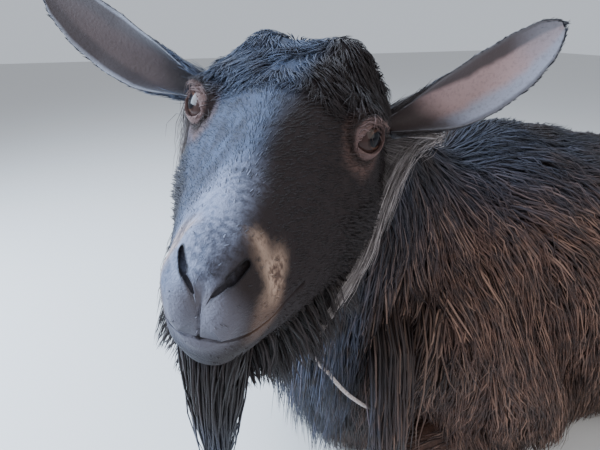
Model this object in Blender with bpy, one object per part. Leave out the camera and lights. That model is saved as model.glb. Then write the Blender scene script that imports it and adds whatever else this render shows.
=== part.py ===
# Billy goat lying on its chest with the head raised and turned to its left.
# Metres, +Z up. The goat faces -X, so its left side is towards -Y.

import math
import random

import bmesh
import bpy
import numpy as np
from mathutils import Matrix, Vector
from mathutils.bvhtree import BVHTree

# Gap that touching pieces keep, and the smallest clearance a cutter adds.
GAP = 0.0003
CUT_CLEARANCE = 0.00035

# Trunk. Rows run from the brisket to the rump:
# x, height of the centre, half width, half height, squareness (1 is an ellipse).
TRUNK_ROWS = (
    (-0.474, 0.205, 0.066, 0.090, 1.0),
    (-0.425, 0.212, 0.112, 0.150, 0.95),
    (-0.325, 0.221, 0.132, 0.198, 0.92),
    (-0.210, 0.231, 0.145, 0.231, 0.90),
    (-0.080, 0.220, 0.162, 0.224, 0.88),
    (0.060, 0.205, 0.172, 0.209, 0.88),
    (0.180, 0.208, 0.164, 0.205, 0.88),
    (0.290, 0.215, 0.138, 0.192, 0.90),
    (0.370, 0.222, 0.100, 0.160, 0.95),
    (0.410, 0.228, 0.050, 0.090, 1.0),
)
TRUNK_AROUND = 24
TRUNK_RINGS = 17

# Neck. Rows: x, y, z of the axis, half width, half depth.
NECK_ROWS = (
    (-0.270, 0.000, 0.275, 0.100, 0.135),
    (-0.355, -0.006, 0.325, 0.094, 0.128),
    (-0.430, -0.030, 0.385, 0.080, 0.110),
    (-0.490, -0.070, 0.445, 0.068, 0.092),
    (-0.530, -0.112, 0.482, 0.052, 0.066),
    (-0.552, -0.138, 0.495, 0.034, 0.042),
)
NECK_AROUND = 16
NECK_RINGS = 9

# Head pose: where the middle of the skull is, and how far it turns from facing -X.
HEAD_AT = Vector((-0.577, -0.167, 0.520))
HEAD_TURN = math.radians(59.4)
HEAD_LIFT = math.radians(1.0)
HEAD_ROLL = math.radians(9.8)

# Head, in its own frame: +X to the nose, +Y to its left, +Z to the crown.
# Rows: x, top, bottom, half widths at the top, the middle and the jaw, squareness.
HEAD_ROWS = (
    (-0.098, 0.022, -0.062, 0.036, 0.044, 0.038, 1.0),
    (-0.080, 0.044, -0.098, 0.054, 0.066, 0.058, 0.92),
    (-0.055, 0.057, -0.124, 0.066, 0.077, 0.072, 0.84),
    (-0.028, 0.061, -0.132, 0.067, 0.077, 0.074, 0.80),
    (0.000, 0.057, -0.130, 0.063, 0.073, 0.070, 0.80),
    (0.030, 0.043, -0.126, 0.046, 0.064, 0.062, 0.82),
    (0.060, 0.029, -0.118, 0.026, 0.053, 0.051, 0.84),
    (0.090, 0.015, -0.109, 0.020, 0.044, 0.042, 0.86),
    (0.118, 0.004, -0.099, 0.020, 0.0345, 0.031, 0.86),
    (0.138, -0.005, -0.090, 0.020, 0.0275, 0.024, 0.86),
    (0.152, -0.012, -0.081, 0.018, 0.0225, 0.018, 0.90),
    (0.162, -0.022, -0.066, 0.012, 0.0155, 0.011, 0.95),
)
HEAD_AROUND = 24
HEAD_RINGS = 18
# Soft bumps and hollows on both sides of the head: centre, radius of influence, height.
HEAD_BUMPS = (
    ((-0.040, 0.031, 0.062), 0.020, 0.014),    # covered horn knob
    ((0.006, 0.058, 0.036), 0.015, 0.005),     # brow over the eye
    ((-0.004, 0.060, 0.020), 0.022, 0.005),    # orbit
    ((0.046, 0.048, -0.004), 0.016, -0.003),   # hollow in front of the eye
    ((-0.030, 0.060, -0.060), 0.030, 0.004),   # cheek muscle
    ((0.148, 0.015, -0.012), 0.010, 0.003),    # nostril wing
    ((0.138, 0.027, -0.046), 0.014, 0.003),    # upper lip
)
CHIN_BUMP = ((0.134, 0.0, -0.088), 0.018, 0.005)

EYE_AT = Vector((0.0086, 0.0543, 0.0157))
EYE_RADIUS = 0.0155
LID_THICKNESS = 0.0026
EYE_LOOKS = Vector((0.68, 0.72, 0.14))
EYE_OPENING_HALF_LENGTH = 0.0135
EYE_OPENING_HALF_HEIGHT = 0.0095

# Slits in the muzzle. Points: x, y, z near the surface and the radius of the slit there.
NOSTRIL_POINTS = (
    (0.1650, 0.0050, -0.0365, 0.0018),
    (0.1640, 0.0095, -0.0340, 0.0028),
    (0.1590, 0.0145, -0.0290, 0.0042),
    (0.1520, 0.0185, -0.0225, 0.0048),
)
NOSTRIL_DEPTH = 0.0012
MOUTH_POINTS = (
    (0.160, -0.004, -0.0580, 0.0016),
    (0.153, 0.014, -0.0575, 0.0016),
    (0.135, 0.025, -0.0560, 0.0016),
    (0.100, 0.036, -0.0540, 0.0014),
)
MOUTH_DEPTH = 0.0

# Ears: root on the head, length, width, and where each one points in the head's frame.
EAR_ROOT = Vector((-0.052, 0.073, 0.017))
EAR_LENGTH = 0.152
EAR_WIDTH = 0.047
EAR_THICKNESS = 0.0042
EAR_POINTS_LEFT = Vector((-0.17, 0.76, 0.62))
EAR_POINTS_RIGHT = Vector((0.08, -0.92, 0.375))
EAR_OPENS = Vector((0.92, 0.0, 0.05))

# Twine collar: a closed loop. It lies on the coat at the throat and is hidden elsewhere.
COLLAR_RADIUS = 0.0022
COLLAR_POINTS = (
    (-0.536, -0.139, 0.298),
    (-0.521, -0.148, 0.262),
    (-0.497, -0.154, 0.228),
    (-0.466, -0.150, 0.200),
    (-0.436, -0.106, 0.195),
    (-0.458, -0.030, 0.208),
    (-0.500, 0.045, 0.262),
    (-0.492, 0.078, 0.345),
    (-0.462, 0.052, 0.440),
    (-0.452, -0.030, 0.500),
    (-0.480, -0.112, 0.480),
    (-0.515, -0.142, 0.400),
)

# Folded legs, for the goat's left side. Rows: x, y, z, half width, half depth.
FORELEG_BONES = (
    ((-0.345, -0.085, 0.250, 0.062, 0.085), (-0.275, -0.112, 0.185, 0.058, 0.074), (-0.205, -0.128, 0.110, 0.044, 0.052)),
    ((-0.185, -0.128, 0.098, 0.040, 0.048), (-0.280, -0.122, 0.075, 0.035, 0.040), (-0.395, -0.112, 0.036, 0.028, 0.034)),
    ((-0.402, -0.104, 0.030, 0.024, 0.030), (-0.330, -0.078, 0.022, 0.018, 0.021), (-0.268, -0.062, 0.022, 0.019, 0.022)),
    ((-0.272, -0.062, 0.022, 0.019, 0.022), (-0.240, -0.054, 0.024, 0.017, 0.020), (-0.222, -0.050, 0.025, 0.018, 0.020)),
)
HINDLEG_BONES = (
    ((0.290, -0.085, 0.260, 0.080, 0.105), (0.190, -0.130, 0.205, 0.076, 0.100), (0.085, -0.168, 0.130, 0.052, 0.066)),
    ((0.070, -0.172, 0.112, 0.046, 0.056), (0.170, -0.178, 0.085, 0.040, 0.050), (0.300, -0.176, 0.040, 0.024, 0.032)),
    ((0.312, -0.178, 0.032, 0.021, 0.030), (0.240, -0.192, 0.024, 0.018, 0.022), (0.172, -0.200, 0.022, 0.019, 0.021)),
    ((0.176, -0.200, 0.022, 0.019, 0.021), (0.145, -0.203, 0.023, 0.017, 0.019), (0.126, -0.204, 0.024, 0.018, 0.020)),
)
LEG_AROUND = 8
# Cloven hooves: length, width of one claw, height, and the slit between the two.
CLAW_LENGTH = 0.052
CLAW_WIDTH = 0.021
CLAW_HEIGHT = 0.034
CLAW_SLIT = 0.004
HOOF_CLEARANCE = 0.0014
FORE_HOOF = (Vector((-0.222, -0.050, 0.022)), Vector((1.0, 0.18, 0.02)))
HIND_HOOF = (Vector((0.126, -0.204, 0.020)), Vector((-1.0, -0.03, -0.02)))

# Tail, pointing back and down. Rows: x, y, z, half width, half depth.
TAIL_ROWS = (
    (0.385, 0.000, 0.330, 0.026, 0.022),
    (0.425, 0.000, 0.322, 0.024, 0.019),
    (0.470, 0.000, 0.290, 0.020, 0.015),
    (0.498, 0.000, 0.250, 0.012, 0.010),
)

# Coat. A lock is a flat tapered blade; its root is sunk in the node that it grows from.
# How far the plain core of each node stands above the skin.
TRUNK_COAT = 0.010
NECK_COAT = 0.010
HEAD_COAT = 0.004
LEG_COAT = 0.006
TAIL_COAT = 0.004
LOCK_SINK = 0.012
LOCK_STEPS = 3
LOCK_WIDTH_PROFILE = (0.70, 1.0, 0.92, 0.60)
LOCK_THICKNESS_PROFILE = (1.0, 1.0, 0.80, 0.50)
FLOOR_CLEARANCE = 0.003
# Rows of locks on the trunk: angle from the spine, first x, last x, how many,
# length, width, thickness, lift, and how much the hair runs back instead of down.
TRUNK_LOCK_ROWS = (
    (14, -0.29, 0.35, 6, 0.125, 0.082, 0.013, 0.012, 0.95),
    (44, -0.33, 0.37, 7, 0.130, 0.086, 0.015, 0.014, 0.45),
    (74, -0.37, 0.38, 7, 0.150, 0.088, 0.018, 0.018, 0.25),
    (100, -0.40, 0.38, 7, 0.150, 0.086, 0.019, 0.020, 0.15),
    (124, -0.40, 0.36, 6, 0.120, 0.084, 0.018, 0.020, 0.10),
)
# Rows of locks on the neck: place along it, angles from the crest, length, width, thickness, lift.
NECK_LOCK_ROWS = (
    (0.80, (20, 65, 110, 155), 0.085, 0.048, 0.011, 0.009),
    (0.58, (0, 42, 86, 130, 172), 0.100, 0.056, 0.014, 0.012),
    (0.36, (22, 64, 106, 148), 0.115, 0.062, 0.016, 0.014),
    (0.17, (0, 88, 128, 168), 0.120, 0.064, 0.016, 0.015),
)
# The mane that hangs from the throat: place along the neck, angle from the crest, length, width.
MANE_LOCKS = (
    (0.80, 180, 0.170, 0.060),
    (0.72, 135, 0.190, 0.060),
    (0.72, -135, 0.190, 0.060),
    (0.60, 165, 0.210, 0.066),
    (0.60, -160, 0.200, 0.066),
    (0.46, 140, 0.190, 0.066),
    (0.46, -140, 0.190, 0.066),
)
MANE_FALLS = Vector((-0.25, 0.0, -1.0))
# Chest locks under the neck: y, z, length.
CHEST_LOCKS = (
    (-0.060, 0.270, 0.120),
    (0.0, 0.285, 0.125),
    (0.060, 0.270, 0.120),
    (-0.080, 0.200, 0.115),
    (-0.028, 0.210, 0.125),
    (0.028, 0.210, 0.125),
    (0.080, 0.200, 0.115),
    (-0.050, 0.130, 0.095),
    (0.0, 0.140, 0.100),
    (0.050, 0.130, 0.095),
)
RUMP_LOCKS = (
    (-0.085, 0.300, 0.120),
    (0.085, 0.300, 0.120),
    (-0.100, 0.220, 0.120),
    (-0.045, 0.235, 0.120),
    (0.045, 0.235, 0.120),
    (0.100, 0.220, 0.120),
    (-0.060, 0.150, 0.105),
    (0.0, 0.160, 0.110),
    (0.060, 0.150, 0.105),
)
# Thigh and upper arm locks: x, z, length.
THIGH_LOCKS = (
    (0.270, 0.300, 0.125),
    (0.215, 0.290, 0.120),
    (0.300, 0.235, 0.125),
    (0.240, 0.225, 0.125),
    (0.180, 0.215, 0.120),
    (0.130, 0.190, 0.105),
    (0.265, 0.160, 0.100),
    (0.200, 0.150, 0.100),
)
ARM_LOCKS = (
    (-0.340, 0.270, 0.115),
    (-0.285, 0.245, 0.115),
    (-0.320, 0.200, 0.110),
    (-0.265, 0.180, 0.105),
    (-0.225, 0.140, 0.090),
)
# Beard: root in the head's frame, length, width, and how far the tip leans forward and aside.
BEARD_LOCKS = (
    (0.138, 0.000, 0.150, 0.034, 0.10, 0.00),
    (0.130, 0.014, 0.138, 0.032, 0.06, 0.10),
    (0.130, -0.014, 0.142, 0.032, 0.08, -0.08),
    (0.112, 0.010, 0.140, 0.036, 0.00, 0.06),
    (0.112, -0.014, 0.126, 0.034, 0.02, -0.12),
    (0.092, 0.006, 0.110, 0.036, -0.10, 0.05),
)
# Forelock between the knobs: x, y in the head's frame, length, width, heading aside.
FORELOCK = (
    (-0.040, 0.000, 0.070, 0.030, 0.10),
    (-0.050, 0.026, 0.060, 0.028, 0.30),
    (-0.050, -0.026, 0.060, 0.028, -0.30),
    (-0.014, 0.014, 0.052, 0.026, 0.25),
    (-0.014, -0.016, 0.052, 0.026, -0.20),
)
# Hair along the back edge of the jaw, from the ear down: x, z in the head's frame, length.
JAW_LOCKS = ((-0.066, -0.010, 0.060), (-0.062, -0.045, 0.064), (-0.050, -0.080, 0.066))
# Hair that hangs under the jaw: root in the head's frame, length, width, lean forward and aside.
UNDER_JAW_LOCKS = (
    (0.062, 0.000, 0.056, 0.046, -0.35, 0.00),
    (0.036, 0.032, 0.052, 0.044, -0.35, 0.15),
    (0.036, -0.032, 0.052, 0.044, -0.35, -0.15),
    (0.012, 0.000, 0.050, 0.048, -0.40, 0.00),
)
TAIL_LOCKS = ((0.15, 0), (0.35, 120), (0.35, -120), (0.55, 40), (0.70, -60), (0.72, 180))
SEED = 5


def clear_scene():
    for item in list(bpy.data.objects):
        bpy.data.objects.remove(item, do_unlink=True)


def make_material(name, colour, roughness):
    material = bpy.data.materials.new(name)
    material.use_nodes = True
    shader = material.node_tree.nodes["Principled BSDF"]
    shader.inputs["Base Color"].default_value = (*colour, 1.0)
    shader.inputs["Roughness"].default_value = roughness
    shader.inputs["Metallic"].default_value = 0.0
    material.diffuse_color = (*colour, 1.0)
    return material


def make_collection(name, hidden=False):
    collection = bpy.data.collections.new(name)
    collection.hide_render = hidden
    bpy.context.scene.collection.children.link(collection)
    return collection


def make_object(name, points, faces, collection, material=None):
    mesh = bpy.data.meshes.new(name)
    mesh.from_pydata([tuple(p) for p in points], [], faces)
    mesh.validate()
    if material:
        mesh.materials.append(material)
    item = bpy.data.objects.new(name, mesh)
    collection.objects.link(item)
    return item


def spline_rows(rows, count):
    """Smooth curve through rows of numbers, sampled evenly (Catmull-Rom)."""
    data = np.array(rows, float)
    padded = np.vstack([2 * data[0] - data[1], data, 2 * data[-1] - data[-2]])
    samples = []
    for place in np.linspace(0, len(data) - 1, count):
        k = min(int(place), len(data) - 2)
        t = place - k
        a, b, c, d = padded[k : k + 4]
        samples.append(
            0.5 * (2 * b + (c - a) * t + (2 * a - 5 * b + 4 * c - d) * t**2 + (3 * b - a - 3 * c + d) * t**3)
        )
    return np.array(samples)


def signed_power(value, power):
    return np.sign(value) * np.abs(value) ** power


def grid_faces(rings, around):
    """Triangles of a closed tube of rings with a pole point at each end."""
    faces = []
    for i in range(rings - 1):
        for j in range(around):
            a, b = i * around + j, i * around + (j + 1) % around
            c, d = a + around, b + around
            faces += [(a, b, d), (a, d, c)]
    first, last = rings * around, rings * around + 1
    tail = (rings - 1) * around
    for j in range(around):
        k = (j + 1) % around
        faces += [(first, k, j), (last, tail + j, tail + k)]
    return faces


def tube_shape(rows, around, rings, up=Vector((0, 0, 1)), cap=0.6, grow=0.0):
    """Points and faces of a rounded tube along rows of x, y, z, half width, half depth."""
    samples = spline_rows(rows, rings)
    centres, radii = samples[:, :3], samples[:, 3:5] + grow
    tangents = np.gradient(centres, axis=0)
    tangents /= np.linalg.norm(tangents, axis=1)[:, None]
    angles = np.linspace(0, 2 * math.pi, around, endpoint=False)
    cap_steps = ((0.62, 0.74),)
    layers = []
    first, last = (centres[0], tangents[0], radii[0]), (centres[-1], tangents[-1], radii[-1])
    for share, shrink in reversed(cap_steps):
        layers.append((first[0] - first[1] * cap * first[2].mean() * share, first[1], first[2] * shrink))
    layers += list(zip(centres, tangents, radii))
    for share, shrink in cap_steps:
        layers.append((last[0] + last[1] * cap * last[2].mean() * share, last[1], last[2] * shrink))
    points = []
    for centre, tangent, radius in layers:
        side = np.cross(tangent, np.array(up))
        side /= np.linalg.norm(side)
        top = np.cross(side, tangent)
        for angle in angles:
            points.append(centre + side * radius[0] * math.cos(angle) + top * radius[1] * math.sin(angle))
    points.append(first[0] - first[1] * cap * first[2].mean())
    points.append(last[0] + last[1] * cap * last[2].mean())
    faces = [tuple(reversed(face)) for face in grid_faces(len(layers), around)]
    return np.array(points), faces


def mirrored(rows):
    """The same rows on the goat's other side."""
    return tuple((row[0], -row[1], *row[2:]) for row in rows)


def closed_outward(points, faces):
    """The faces, turned round if the shape is inside out."""
    p = np.array(points)
    triangles = p[np.array(faces)]
    volume = np.einsum("ij,ij->i", triangles[:, 0], np.cross(triangles[:, 1], triangles[:, 2])).sum()
    return faces if volume > 0 else [tuple(reversed(face)) for face in faces]


def trunk_shape(grow=0.0):
    rows = spline_rows(TRUNK_ROWS, TRUNK_RINGS)
    angles = np.linspace(0, 2 * math.pi, TRUNK_AROUND, endpoint=False)
    points = []
    for x, middle, half_width, half_height, power in rows:
        across = signed_power(np.sin(angles), power) * (half_width + grow)
        upward = signed_power(np.cos(angles), power) * (half_height + grow)
        upward += np.clip(np.cos(angles), 0, 1) ** 3 * grow * 0.8
        # The chest is a keel: narrower low down at the front than at the belly.
        keel = np.clip((-0.10 - x) / 0.25, 0, 1)
        narrow = 1 - 0.35 * keel * np.clip(-np.cos(angles), 0, 1)
        points += list(np.stack([np.full_like(angles, x), across * narrow, middle + upward], 1))
    points.append((rows[0][0] - 0.018 - grow, 0, rows[0][1]))
    points.append((rows[-1][0] + 0.018 + grow, 0, rows[-1][1]))
    return np.array(points), grid_faces(TRUNK_RINGS, TRUNK_AROUND)


def head_matrix():
    """From the head's own frame to the world."""
    turn = Matrix.Rotation(math.pi + HEAD_TURN, 4, "Z")
    lift = Matrix.Rotation(-HEAD_LIFT, 4, "Y")
    roll = Matrix.Rotation(-HEAD_ROLL, 4, "X")
    return Matrix.Translation(HEAD_AT) @ turn @ lift @ roll


def head_bumps(points, normals):
    """Moves each point out along its normal by the bumps near it."""
    out = points.copy()
    places = [(Vector((c[0], side * c[1], c[2])), r, h) for c, r, h in HEAD_BUMPS for side in (1, -1)]
    places.append((Vector(CHIN_BUMP[0]), CHIN_BUMP[1], CHIN_BUMP[2]))
    for centre, radius, height in places:
        away = np.linalg.norm(points - np.array(centre), axis=1)
        out += normals * (height * np.exp(-((away / radius) ** 2)))[:, None]
    return out


def head_shape(around=HEAD_AROUND, rings=HEAD_RINGS, grow=0.0):
    rows = spline_rows(HEAD_ROWS, rings)
    angles = np.linspace(0, 2 * math.pi, around, endpoint=False)
    points = []
    for x, top, bottom, high, wide, low, power in rows:
        middle, half = (top + bottom) / 2, (top - bottom) / 2
        z = middle + half * signed_power(np.cos(angles), power)
        share = np.clip((z - bottom) / (top - bottom), 0, 1)
        # A parabola through the half widths at the jaw, the middle and the top.
        width = low * (1 - share) * (1 - 2 * share) + wide * 4 * share * (1 - share) + high * share * (2 * share - 1)
        y = width * signed_power(np.sin(angles), power)
        points += list(np.stack([np.full_like(angles, x), y, z], 1))
    points.append((rows[0][0] - 0.010, 0, (rows[0][1] + rows[0][2]) / 2))
    points.append((rows[-1][0] + 0.005, 0, (rows[-1][1] + rows[-1][2]) / 2))
    points = np.array(points)
    faces = closed_outward(points, grid_faces(rings, around))
    normals = vertex_normals(points, faces)
    points = head_bumps(points, normals)
    if grow:
        points = points + vertex_normals(points, faces) * grow
    return points, faces


def vertex_normals(points, faces):
    corners = points[np.array(faces)]
    flat = np.cross(corners[:, 1] - corners[:, 0], corners[:, 2] - corners[:, 0])
    normals = np.zeros_like(points)
    for k in range(3):
        np.add.at(normals, np.array(faces)[:, k], flat)
    return normals / np.maximum(np.linalg.norm(normals, axis=1), 1e-12)[:, None]


def to_world(points, matrix):
    m = np.array(matrix)
    return np.asarray(points) @ m[:3, :3].T + m[:3, 3]


def ball(name, centre, radius, collection, segments=20, rings=12, matrix=Matrix.Identity(4)):
    work = bmesh.new()
    bmesh.ops.create_uvsphere(work, u_segments=segments, v_segments=rings, radius=radius)
    mesh = bpy.data.meshes.new(name)
    work.to_mesh(mesh)
    work.free()
    item = bpy.data.objects.new(name, mesh)
    collection.objects.link(item)
    mesh.transform(matrix @ Matrix.Translation(centre))
    return item


def side_point(point, side):
    """A point of the head's frame on the left (side 1) or the right (side -1)."""
    return Vector((point[0], side * point[1], point[2]))


def eye_frame(side):
    """Turns +Z to where the eye looks, and +X forward along the face."""
    look = side_point(EYE_LOOKS, side).normalized()
    along = (Vector((1, 0, -0.12)) - look * look.dot(Vector((1, 0, -0.12)))).normalized()
    across = look.cross(along)
    turn = Matrix((along, across, look)).transposed().to_4x4()
    return head_matrix() @ Matrix.Translation(side_point(EYE_AT, side)) @ turn


def eye_opening(name, side, collection):
    """A lens-shaped plug that cuts the gap between the lids."""
    work = bmesh.new()
    bmesh.ops.create_uvsphere(work, u_segments=12, v_segments=6, radius=1.0)
    for v in work.verts:
        corner = 1 - 0.35 * abs(v.co.x) ** 2
        v.co = Vector((v.co.x * EYE_OPENING_HALF_LENGTH, v.co.y * EYE_OPENING_HALF_HEIGHT * corner, v.co.z * EYE_RADIUS))
    mesh = bpy.data.meshes.new(name)
    work.to_mesh(mesh)
    work.free()
    mesh.transform(eye_frame(side) @ Matrix.Translation((0, 0, EYE_RADIUS * 0.95)))
    item = bpy.data.objects.new(name, mesh)
    collection.objects.link(item)
    return item


def slot_shape(points, depth, side, tree):
    """A thin bent tube along the head's surface, for nostrils and the line of the mouth."""
    matrix = head_matrix()
    rows = []
    for x, y, z, radius in points:
        place, normal, _, _ = tree.find_nearest(matrix @ side_point((x, y, z), side))
        rows.append((*(place - normal * depth), radius, radius))
    return outward(tube_shape(rows, 6, 6, up=matrix.to_3x3() @ Vector((0, 0.3, 1)), cap=1.0))


def ear_shape(side, grow=0.0):
    """A cupped leaf: rolled at the root, wide in the middle, nearly flat at the tip."""
    points_to = (EAR_POINTS_LEFT if side > 0 else EAR_POINTS_RIGHT).normalized()
    opens = (EAR_OPENS - points_to * EAR_OPENS.dot(points_to)).normalized()
    across = points_to.cross(opens)
    root = side_point(EAR_ROOT, side)
    along_steps, across_steps = 8, 6
    outer, inner = [], []
    for i in range(along_steps):
        t = i / (along_steps - 1)
        width = EAR_WIDTH * ear_width_share(t)
        curl = math.radians(150 - 105 * min(1.0, t * 1.7) - 15 * t)
        radius = width / (2 * math.sin(curl)) if curl < math.pi / 2 else width / 2
        centre = root + points_to * (EAR_LENGTH * t)
        thick = EAR_THICKNESS * (1.25 - 0.65 * t) + grow
        for layer, shift in ((outer, thick / 2), (inner, -thick / 2)):
            ring = []
            for j in range(across_steps + 1):
                angle = curl * (2 * j / across_steps - 1)
                r = radius + shift
                offset = across * (math.sin(angle) * r) + opens * (radius - math.cos(angle) * r)
                ring.append(centre + offset)
            layer.append(ring)
    matrix = head_matrix()
    count = across_steps + 1
    points = [matrix @ p for ring in outer for p in ring] + [matrix @ p for ring in inner for p in ring]
    base = along_steps * count
    faces = []
    for i in range(along_steps - 1):
        for j in range(across_steps):
            a, b, c, d = i * count + j, i * count + j + 1, (i + 1) * count + j, (i + 1) * count + j + 1
            faces += [(a, b, d), (a, d, c), (base + a, base + d, base + b), (base + a, base + c, base + d)]
        for j, flip in ((0, False), (across_steps, True)):
            a, c = i * count + j, (i + 1) * count + j
            pair = [(a, c, base + c), (a, base + c, base + a)]
            faces += [tuple(reversed(f)) for f in pair] if flip else pair
    for i, flip in ((0, True), (along_steps - 1, False)):
        for j in range(across_steps):
            a, b = i * count + j, i * count + j + 1
            pair = [(a, b, base + b), (a, base + b, base + a)]
            faces += [tuple(reversed(f)) for f in pair] if flip else pair
    return points, closed_outward([tuple(p) for p in points], faces)


def ear_width_share(t):
    """Width of the ear along its length, from its narrow root to its rounded tip."""
    stations = ((0.0, 0.46), (0.15, 0.58), (0.35, 0.88), (0.55, 1.0), (0.75, 0.92), (0.90, 0.66), (1.0, 0.24))
    for (a, low), (b, high) in zip(stations, stations[1:]):
        if t <= b:
            return low + (high - low) * (t - a) / (b - a)
    return stations[-1][1]


def claw_shape(side_sign, place, grow=0.0):
    """One claw of a cloven hoof: a wedge with a rounded front."""
    origin, forward = place
    forward = forward.normalized()
    side = forward.cross(Vector((0, 0, 1))).normalized()
    up = side.cross(forward)
    stations = ((0.0, 0.82, 1.0), (0.30, 1.0, 0.98), (0.65, 0.92, 0.80), (0.88, 0.66, 0.58), (1.0, 0.30, 0.34))
    outline = ((-0.5, -0.5), (0.5, -0.5), (0.52, 0.0), (0.34, 0.42), (0.0, 0.5), (-0.34, 0.42), (-0.52, 0.0))
    points = []
    for t, wide, high in stations:
        for u, v in outline:
            across = (u * wide * (CLAW_WIDTH + grow)) + side_sign * (CLAW_WIDTH + CLAW_SLIT) / 2
            height = (v * high - 0.5 * (1 - high)) * (CLAW_HEIGHT + grow)
            points.append(origin + forward * (CLAW_LENGTH * t + grow * (2 * t - 1)) + side * across + up * height)
    count = len(outline)
    faces = []
    for i in range(len(stations) - 1):
        for j in range(count):
            a, b = i * count + j, i * count + (j + 1) % count
            faces += [(a, b, b + count), (a, b + count, a + count)]
    tail = (len(stations) - 1) * count
    for j in range(1, count - 1):
        faces += [(0, j + 1, j), (tail, tail + j, tail + j + 1)]
    return points, closed_outward([tuple(p) for p in points], faces)


class Ground:
    """The bare surfaces that the coat lies on, one tree for each."""

    def __init__(self, shapes):
        self.trees = []
        for points, faces in shapes:
            corners = [Vector(p) for p in points]
            self.trees.append(BVHTree.FromPolygons(corners, [tuple(face) for face in faces]))

    def inside(self, point, skip=()):
        for index, tree in enumerate(self.trees):
            place, normal, _, _ = tree.find_nearest(point)
            if index not in skip and (point - place).dot(normal) < 0:
                return True
        return False

    def push_out(self, point, distance):
        """Moves the point until it is that far above every surface."""
        best = None
        for _ in range(3):
            for tree in self.trees:
                place, normal, _, away = tree.find_nearest(point)
                height = (point - place).dot(normal)
                if height < 0 or away < distance * 0.98:
                    point = place + normal * distance
                    best = normal
        if best is None:
            nearest = min((tree.find_nearest(point) for tree in self.trees), key=lambda hit: hit[3])
            best = nearest[1]
        return point, best

    def pull_in(self, point, distance, share):
        """Brings a point that stands off the surface part of the way back to it."""
        place, normal, _, away = min((tree.find_nearest(point) for tree in self.trees), key=lambda hit: hit[3])
        if away > distance:
            point = point + (place - point) * (share * (away - distance) / away)
        return point


def lock_path(root, normal, lie, length, ground, lift, droop, cling):
    """Points and surface normals along one lock, from its sunk root to its tip."""
    path, normals = [root - normal * LOCK_SINK], [normal]
    direction = (lie + normal * 0.30).normalized()
    point = root + normal * 0.003
    step = length / LOCK_STEPS
    for k in range(LOCK_STEPS + 1):
        surface = normal
        if k:
            point = ground.pull_in(point, lift, cling)
            wanted = point.copy()
            point, surface = ground.push_out(point, lift * (0.5 + 0.6 * k / LOCK_STEPS))
            # A lock that would have to fold round something ends before it.
            if (point - wanted).length > 0.75 * step:
                break
        point.z = max(point.z, FLOOR_CLEARANCE)
        if k:
            direction = (point - path[-1]).normalized()
        path.append(point.copy())
        normals.append(surface)
        direction = (direction * (1 - droop) + Vector((0, 0, -1)) * droop).normalized()
        point = point + direction * step
    return path, normals


def lock_shape(path, normals, width, thickness, grow=0.0):
    """A flat blade of diamond section along the path."""
    path = [path[0] + (path[0] - path[1]).normalized() * grow, *path[1:]]
    points, faces = [], []
    count = len(path)
    for k in range(count - 1):
        tangent = (path[min(k + 1, count - 1)] - path[max(k - 1, 0)]).normalized()
        side = tangent.cross(normals[k])
        side = side.normalized() if side.length > 1e-6 else tangent.orthogonal().normalized()
        rise = side.cross(tangent).normalized()
        profile = min(k + LOCK_STEPS + 2 - count if k else 0, len(LOCK_WIDTH_PROFILE) - 1)
        half_width = width / 2 * LOCK_WIDTH_PROFILE[profile] + grow
        half_thick = thickness / 2 * LOCK_THICKNESS_PROFILE[profile] + grow
        points += [
            path[k] + side * half_width,
            path[k] + rise * half_thick,
            path[k] - side * half_width,
            path[k] - rise * half_thick,
        ]
    points.append(path[-1] + (path[-1] - path[-2]).normalized() * grow)
    rings = count - 1
    for k in range(rings - 1):
        for j in range(4):
            a, b = k * 4 + j, k * 4 + (j + 1) % 4
            c, d = a + 4, b + 4
            faces += [(a, b, d), (a, d, c)] if j % 2 else [(a, b, c), (b, d, c)]
    tip, last = len(points) - 1, (rings - 1) * 4
    for j in range(4):
        faces.append((last + j, last + (j + 1) % 4, tip))
    faces += [(0, 3, 2), (0, 2, 1)]
    return points, closed_outward([tuple(p) for p in points], faces)


def closed_loop_shape(points, radius, around=6, steps=48):
    """A round cord through the points and back to the first one."""
    data = np.array(points, float)
    count = len(data)
    centres = []
    for place in np.linspace(0, count, steps, endpoint=False):
        k, t = int(place), place - int(place)
        a, b, c, d = (data[(k + o) % count] for o in (-1, 0, 1, 2))
        centres.append(
            0.5 * (2 * b + (c - a) * t + (2 * a - 5 * b + 4 * c - d) * t**2 + (3 * b - a - 3 * c + d) * t**3)
        )
    centres = np.array(centres)
    tangents = np.roll(centres, -1, 0) - np.roll(centres, 1, 0)
    tangents /= np.linalg.norm(tangents, axis=1)[:, None]
    middle = centres.mean(0)
    verts, faces = [], []
    for i in range(steps):
        inward = middle - centres[i]
        side = inward - tangents[i] * inward.dot(tangents[i])
        side /= np.linalg.norm(side)
        rise = np.cross(tangents[i], side)
        for j in range(around):
            angle = 2 * math.pi * j / around
            verts.append(centres[i] + radius * (side * math.cos(angle) + rise * math.sin(angle)))
            a, b = i * around + j, i * around + (j + 1) % around
            c, d = (a + around) % (steps * around), (b + around) % (steps * around)
            faces += [(a, b, d), (a, d, c)]
    return verts, closed_outward(verts, faces)


def leg_shapes(bones, side, grow=0.0):
    """The folded leg as tubes that share their joints."""
    shapes = []
    for rows in bones:
        placed = rows if side > 0 else mirrored(rows)
        points, faces = tube_shape(placed, LEG_AROUND, 4, cap=0.8, grow=grow)
        shapes.append((points, closed_outward(points, faces)))
    return shapes


def hoof_shapes(place, side, grow=0.0):
    origin, forward = place
    if side < 0:
        origin, forward = Vector((origin.x, -origin.y, origin.z)), Vector((forward.x, -forward.y, forward.z))
    return [claw_shape(k, (origin, forward), grow) for k in (-1, 1)]


def flat_direction(wish, normal):
    """The wish laid into the surface."""
    flat = wish - normal * wish.dot(normal)
    return flat.normalized() if flat.length > 1e-5 else normal.orthogonal().normalized()


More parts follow.
